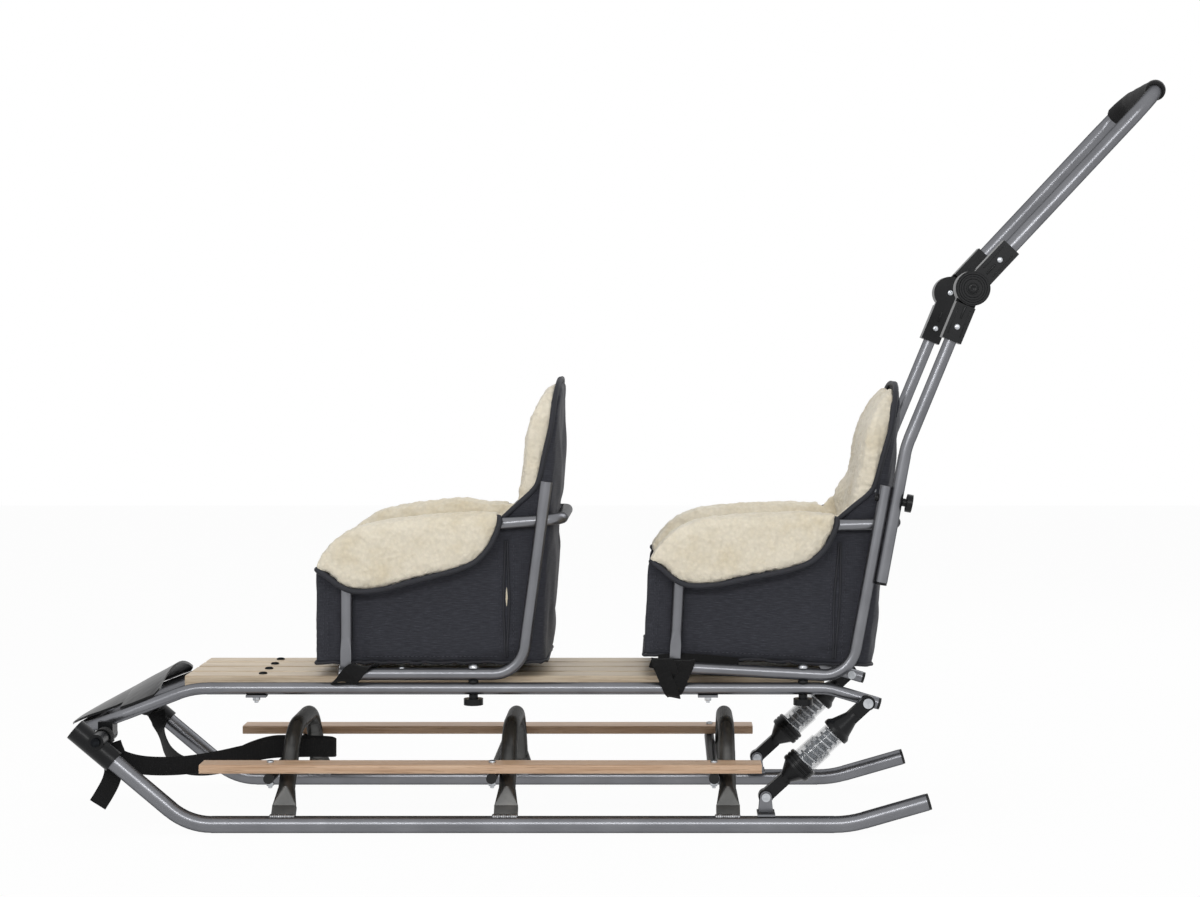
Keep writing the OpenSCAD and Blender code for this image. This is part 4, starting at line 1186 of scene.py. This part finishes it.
# folding hinges: ringed cover, pressed button, ribs and rivets on each arm
hingeSetup = {
    "x": 534, "z": 802, "half": 15, "y": 138, "upAngle": 46.8, "downAngle": 247.5, "upRivet": 58,
    "downRivet": 62, "cover": 24.8, "button": 8.2,
    # face of the arm, offset from its middle, width, span along it
    "ribs": [
        (1, 0, 4.2, (29, 49)), (1, 9.5, 1.8, (32, 76)), (1, -9.5, 1.8, (32, 76)), (-1, 0, 4.2, (32, 50))
    ],
    "ribHeight": 2.2
}


def hingeCover(radius):
    piece = startRound(72, radius, 0.5)
    stepTop(piece, [(0.9, 0.95)])
    slopeTop([(2.0, 0), (1.2, -1.0), (2.2, 0), (1.2, 1.0), (2.4, 0), (1.2, -0.7)])
    return endMaster(piece, 25)


def pressButton(radius):
    piece = startRound(48, radius, 0.4)
    stepTop(piece, [(0.8, 0.94), (0.6, 0.86), (0.4, 0.74)])
    slopeTop([(1.2, 0), (0.9, -0.6)])
    return endMaster(piece, 60)


def armRib(length, width, height):
    clearSelection()
    bpy.ops.mesh.primitive_cube_add(size=1)
    piece = bpy.context.object
    piece.scale = (length * mm, width * mm, height * mm)
    applyPlace(piece)
    bpy.ops.object.mode_set(mode="EDIT")
    bpy.ops.mesh.select_mode(type="FACE")
    selectTop(piece)
    bpy.ops.transform.resize(value=(0.94, 0.6, 1), center_override=(0, 0, 0))
    bpy.ops.mesh.select_all(action="SELECT")
    bpy.ops.mesh.bevel(offset=0.25 * mm, segments=2, affect="EDGES")
    return endMaster(piece)


def onArm(angle, distance, y):
    turn = math.radians(angle)
    return (hingeSetup["x"] + distance * math.cos(turn), y, hingeSetup["z"] + distance * math.sin(turn))


def setRibs(angle, name, body):
    turn = math.radians(angle)
    ahead = Vector((math.cos(turn), 0, math.sin(turn)))
    across = Vector((-math.sin(turn), 0, math.cos(turn)))
    ribs = []
    for s in sides:
        for face, offset, width, (start, stop) in hingeSetup["ribs"]:
            rib = armRib(stop - start, width, hingeSetup["ribHeight"])
            y = hingeSetup["y"] + face * hingeSetup["half"]
            centre = Vector(onArm(angle, (start + stop) / 2, s * y)) + across * offset
            out = Vector((0, s * face, 0))
            basis = Matrix((ahead, out.cross(ahead), out)).transposed().to_4x4()
            rib.matrix_world = Matrix.Translation(centre * mm) @ basis
            ribs.append(rib)
    piece = joinPieces(ribs, name)
    applyPlace(piece)
    return dress(piece, name, blackNylon, body)


outerY = hingeSetup["y"] + hingeSetup["half"]
innerY = hingeSetup["y"] - hingeSetup["half"]
setCopies(
    hingeCover(hingeSetup["cover"]), [(onArm(0, 0, s * outerY), (0, s, 0)) for s in sides],
    "hingeCovers", blackNylon, "handle"
)
setCopies(
    pressButton(hingeSetup["button"]), [(onArm(0, 0, s * (outerY + 3.4)), (0, s, 0)) for s in sides],
    "hingeButtons", blackNylon
)
setRibs(hingeSetup["upAngle"], "hingeUpperRibs", "handle")
setRibs(hingeSetup["downAngle"], "hingeLowerRibs", "chassis")
setCopies(
    domeHead(4.6, 2.8),
    [(onArm(hingeSetup["upAngle"], hingeSetup["upRivet"], s * outerY), (0, s, 0)) for s in sides],
    "hingeUpperRivets", zincPlate, "handle"
)
setCopies(
    domeHead(4.6, 2.8),
    [(onArm(hingeSetup["downAngle"], hingeSetup["downRivet"], s * y), (0, s if y == outerY else -s, 0))
     for s in sides for y in (outerY, innerY)],
    "hingeLowerRivets", zincPlate
)
setCopies(
    socketHead(4.2, 2.6), [(onArm(0, 0, s * innerY), (0, -s, 0)) for s in sides],
    "hingePinScrews", zincPlate
)
print("hinges dressed")

# weld beads where the tubes meet
weldSetup = {
    "archX": (-486, -158.5, 169), "footHalf": 17.5, "pitch": 3.0, "bead": 3.7,
    # y, z and sideways lean of the row outside and inside each arch foot
    "outer": (191.7, 25.0, 0.35), "inner": (181.3, 21.6, -0.8),
    "upright": (101, 128.9, 227.7), "uprightReach": 6.5, "footPlate": (-192, 129, 8), "footEdge": 8
}


def weldPlaces():
    rng = random.Random(7)
    places = []
    for x in weldSetup["archX"]:
        for s in sides:
            for y, z, lean in (weldSetup["outer"], weldSetup["inner"]):
                count = int(2 * weldSetup["footHalf"] / weldSetup["pitch"])
                for i in range(count + 1):
                    at = x - weldSetup["footHalf"] + i * weldSetup["pitch"]
                    places.append(((at, s * y, z), (0, s * lean, 1), rng.uniform(0.85, 1.15)))
    for name in seatSetup["places"]:
        place = seatFrame(name)
        x, y, z = weldSetup["upright"]
        footX, footY, footRise = weldSetup["footPlate"]
        for s in sides:
            for i in range(12):
                a = math.tau * i / 12
                out = Vector((math.cos(a), 0, math.sin(a)))
                local = Vector((x, s * y, z)) + out * weldSetup["uprightReach"]
                places.append((place @ (local * mm) / mm, place.to_3x3() @ out, rng.uniform(0.7, 0.95)))
            for end in (-1, 1):
                for i in range(6):
                    x1 = footX + end * weldSetup["footEdge"]
                    local = Vector((x1, s * footY, footRise * (i / 2.5 - 1)))
                    out = (end, -s * 0.6, 0)
                    places.append((place @ (local * mm) / mm, out, rng.uniform(0.7, 0.9)))
    return places


setCopies(weldBead(weldSetup["bead"]), weldPlaces(), "weldBeads", weldHighlightSteel)
print("welds laid")

# foam grip: a sleeve over the crossbar that runs part of the way round both bends
gripSetup = {
    "x": 534, "z": 802, "angle": 46.8, "length": 415, "half": 138, "bend": 55, "bare": (60, 27),
    "radius": 15, "bore": 11.15, "sides": 30, "endRound": (2.4, 4), "wave": (0.25, 9), "rough": 0.1
}


def makeGrip():
    turn = math.radians(gripSetup["angle"])
    up = Vector((math.cos(turn), 0, math.sin(turn)))
    top = Vector((gripSetup["x"], 0, gripSetup["z"])) + up * gripSetup["length"]
    bend = gripSetup["bend"]
    inner = gripSetup["half"] - bend
    arcs = []
    for s, bare in zip(sides, gripSetup["bare"]):
        arc = []
        for i in range(13):
            a = math.radians(bare + (90 - bare) * i / 12)
            arc.append(top - up * bend * (1 - math.sin(a)) + Vector((0, s * (inner + bend * math.cos(a)), 0)))
        arcs.append(arc)
    straight = [Vector((top.x, y, top.z)) for y in np.linspace(-inner, inner, 21)[1:-1]]
    line = arcs[0] + straight + arcs[1][::-1]
    lengths = [0]
    for a, b in zip(line, line[1:]):
        lengths.append(lengths[-1] + (b - a).length)
    rng = random.Random(5)
    count, points, faces = gripSetup["sides"], [], []
    flat = Vector((-math.sin(turn), 0, math.cos(turn)))
    drop, run = gripSetup["endRound"]
    swell, wave = gripSetup["wave"]
    outside = list(range(len(line)))
    for i in outside + outside[::-1]:
        walled = len(points) >= count * len(line)
        ahead = (line[min(i + 1, len(line) - 1)] - line[max(i - 1, 0)]).normalized()
        across = ahead.cross(flat).normalized()
        end = min(lengths[i], lengths[-1] - lengths[i])
        radius = gripSetup["radius"] - drop * max(0, 1 - end / run) ** 2 + swell * math.sin(lengths[i] / wave)
        radius += rng.uniform(-1, 1) * gripSetup["rough"]
        radius = gripSetup["bore"] if walled else radius
        for k in range(count):
            a = math.tau * k / count
            points.append((line[i] + (flat * math.cos(a) + across * math.sin(a)) * radius) * mm)
    rings = 2 * len(line)
    for i in range(rings):
        for k in range(count):
            a, b = i * count + k, i * count + (k + 1) % count
            c, d = (i + 1) % rings * count + (k + 1) % count, (i + 1) % rings * count + k
            faces.append((a, b, c, d))
    grip = newMesh("foamGrip", points, faces)
    faceOutward(grip)
    bpy.ops.object.shade_smooth_by_angle(angle=math.radians(50))
    return grip


foamGrip = dress(makeGrip(), "foamGrip", foamRubber, "handle")
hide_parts("grip")
print("grip fitted")

# webbing ties: loops round seat rail and deck rail, and round the front pivots
tieSetup = {
    "railY": 138, "seatZ": {"front": 226.6, "rear": 235.5}, "thick": 2.0, "lapRise": 2.3,
    "loops": {
        "front": [],
        "rear": [
            {"x": 89, "low": 205, "skew": 0.42, "width": 21, "reach": 10.6},
            {"x": 89, "low": 205, "skew": -0.42, "width": 21, "reach": 12.9}
        ]
    },
    "wraps": {
        "front": [{"x": -391, "lean": 1.0, "width": 30, "reach": 10.7, "turn": (-125, 160)}],
        "rear": [
            {"x": 99, "lean": 0.2, "width": 27, "reach": 10.8, "turn": (-150, 200)},
            {"x": 79, "lean": -0.3, "width": 29, "reach": 13.0, "turn": (-150, 200)}
        ]
    },
    "flat": [(66, 129, 246), (90, 128, 248), (120, 126, 247), (155, 124, 244), (186, 122, 240)],
    "flatWidth": 21,
    "pivot": (-757, 136), "pivotReach": 12.9, "pivotY": 161.5, "pivotWidth": 20, "tailWidth": 27,
    "tail": [
        (-752, -164, 121), (-746, -165, 106), (-741, -166, 90), (-744, -167, 73), (-753, -167, 55),
        (-764, -167, 37)
    ]
}


def loopLine(high, side, setup):
    # once round the rails, leaning along the sled as it climbs
    low, reach = setup["low"], setup["reach"]
    over = [(math.pi * i / 12, high) for i in range(13)]
    under = [(math.pi + math.pi * i / 12, low) for i in range(13)]
    line = []
    for a, z in over + under + over[:1]:
        y = tieSetup["railY"] + reach * math.cos(a)
        z += reach * math.sin(a)
        x = setup["x"] + setup["skew"] * (z - low + reach)
        line.append(Vector((x, side * y, z)) * mm)
    return line


def wrapLine(z, side, setup):
    # a turn round the seat rail that climbs along it, and the band's width at each step
    reach, lean, (start, stop) = setup["reach"], setup["lean"], setup["turn"]
    line, widths = [], []
    for i in range(33):
        a = math.radians(start + (stop - start) * i / 32)
        out, up = math.cos(a), math.sin(a)
        y = side * (tieSetup["railY"] + reach * out)
        line.append(Vector((setup["x"] + lean * reach * a, y, z + reach * up)) * mm)
        widths.append(Vector((1, side * lean * up, -lean * out)))
    return line, widths


def lapped(line, lap=4):
    # the band's tail runs on over its own start
    centre = sum(line, Vector()) / len(line)
    return line + [p + (p - centre).normalized() * (tieSetup["lapRise"] * mm) for p in line[1:lap]]


def tieBand(line, widths, width):
    return makeBand("tie", line, widths, width * mm, tieSetup["thick"] * mm)


for name, loops in tieSetup["loops"].items():
    for side, label in zip(sides, ("Left", "Right")):
        bands, length = [], 0
        for setup in loops:
            line = lapped(loopLine(tieSetup["seatZ"][name], side, setup))
            slope = Vector((1, 0, setup["skew"] * 0.5)).normalized()
            bands.append(tieBand(line, [slope] * len(line), setup["width"]))
            length += lineLength(line)
        for setup in tieSetup["wraps"][name]:
            line, widths = wrapLine(tieSetup["seatZ"][name], side, setup)
            bands.append(tieBand(line, widths, setup["width"]))
            length += lineLength(line)
        if name == "rear":
            # the loose end lies along the rail below the cover
            line = smoothLine([Vector((x, side * y, z)) * mm for x, y, z in tieSetup["flat"]], 5)
            widths = [Vector((0, side * 0.75, -0.66))] * len(line)
            bands.append(tieBand(line, widths, tieSetup["flatWidth"]))
            length += lineLength(line)
        tie = joinPieces(bands, name + "Tie" + label)
        dress(tie, name + "Tie" + label, webbingNylon)
        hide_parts("seat_webbing")

for side, label in zip(sides, ("Left", "Right")):
    x, z = tieSetup["pivot"]
    reach = tieSetup["pivotReach"]
    line = []
    for i in range(25):
        a = math.radians(-40 + 380 * i / 24)
        grow = reach + tieSetup["lapRise"] * max(0, i - 22) / 2
        line.append(Vector((x + grow * math.cos(a), side * tieSetup["pivotY"], z + grow * math.sin(a))) * mm)
    bands = [tieBand(line, [Vector((0, 1, 0))] * len(line), tieSetup["pivotWidth"])]
    length = lineLength(line)
    if side < 0:
        # the near tie ends in a tail that turns flat to the side
        line = smoothLine([Vector(p) * mm for p in tieSetup["tail"]], 6)
        widths = []
        for i in range(len(line)):
            twist = min(1, i / 12)
            widths.append(Vector((0.9, 0, -0.44)) * twist + Vector((0.2, 1, 0)) * (1 - twist))
        bands.append(tieBand(line, widths, tieSetup["tailWidth"]))
        length += lineLength(line) * tieSetup["tailWidth"] / tieSetup["pivotWidth"]
    wrap = joinPieces(bands, "pivotTie" + label)
    dress(wrap, "pivotTie" + label, webbingNylon)
    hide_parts("strap_wraps")
print("webbing tied")

# floor, studio light and white surround
stageSetup = {"floor": 14.0, "glow": 0.96, "surround": 0.4}


def seenDirectly(holder):
    # 1 for what the camera sees, also through clear pieces and in bright metal
    rays = addNode(holder, "ShaderNodeLightPath")
    seen = addNode(
        holder, "ShaderNodeMath", {"operation": "MAXIMUM"},
        {0: (rays, "Is Camera Ray"), 1: (rays, "Is Transmission Ray")}
    )
    return addNode(
        holder, "ShaderNodeMath", {"operation": "MAXIMUM"}, {0: (seen, "Value"), 1: (rays, "Is Glossy Ray")}
    )


clearSelection()
bpy.ops.mesh.primitive_plane_add(size=stageSetup["floor"], location=(0, 0, -0.0005))
floor = bpy.context.object
floor.name = "studioFloor"
applyPlace(floor)
floorPaint, floorSkin = startMaterial(
    "white floor paint", {"Base Color": linear("#f2f2f2"), "Roughness": 0.9}
)
whiteGlow = addNode(floorPaint, "ShaderNodeEmission", {"Color": linear("#ffffff"), "Strength": 1.0})
share = addNode(
    floorPaint, "ShaderNodeMath", {"operation": "MULTIPLY", 1: stageSetup["glow"]},
    {0: (seenDirectly(floorPaint), "Value")}
)
floorMix = addNode(
    floorPaint, "ShaderNodeMixShader", {},
    {0: (share, "Value"), 1: (floorSkin, "BSDF"), 2: (whiteGlow, "Emission")}
)
floorOut = floorPaint.node_tree.nodes["Material Output"]
connect(floorPaint, floorOut, {"Surface": (floorMix, 0)})
floor.data.materials.append(floorPaint)

world = bpy.data.worlds.new("studio")
scene.world = world
world.use_nodes = True
surround = world.node_tree.nodes["Background"]
surround.inputs["Color"].default_value = linear("#ffffff")
level = addNode(
    world, "ShaderNodeMapRange", {"To Min": stageSetup["surround"], "To Max": 1.0},
    {"Value": (seenDirectly(world), "Value")}
)
connect(world, surround, {"Strength": (level, "Result")})

lampSetup = [
    {
        "name": "topSoftbox", "place": (-0.4, -0.6, 2.9), "aim": (0, 0, 0.3), "size": (2.2, 2.2), "power": 24,
        "mirrored": False  # metal doesn't show it, so the tubes stay dark on top
    },
    {"name": "stripLight", "place": (-0.1, -3.0, 1.5), "aim": (0, 0, 0.3), "size": (3.4, 0.15), "power": 38},
    {"name": "frontSoftbox", "place": (-1.6, -3.2, 1.7), "aim": (0, 0, 0.4), "size": (1.6, 1.6), "power": 3},
    {"name": "rimSoftbox", "place": (1.9, 2.0, 2.0), "aim": (0.2, 0, 0.5), "size": (1.5, 1.5), "power": 22},
]
for lamp in lampSetup:
    clearSelection()
    bpy.ops.object.light_add(type="AREA", location=lamp["place"])
    light = bpy.context.object
    light.name = lamp["name"]
    light.data.shape = "RECTANGLE"
    light.data.size, light.data.size_y = lamp["size"]
    light.data.energy = lamp["power"]
    light.visible_glossy = lamp.get("mirrored", True)
    light.rotation_euler = (Vector(lamp["aim"]) - light.location).to_track_quat("-Z", "Y").to_euler()
print("stage and light")

bpy.context.view_layer.update()
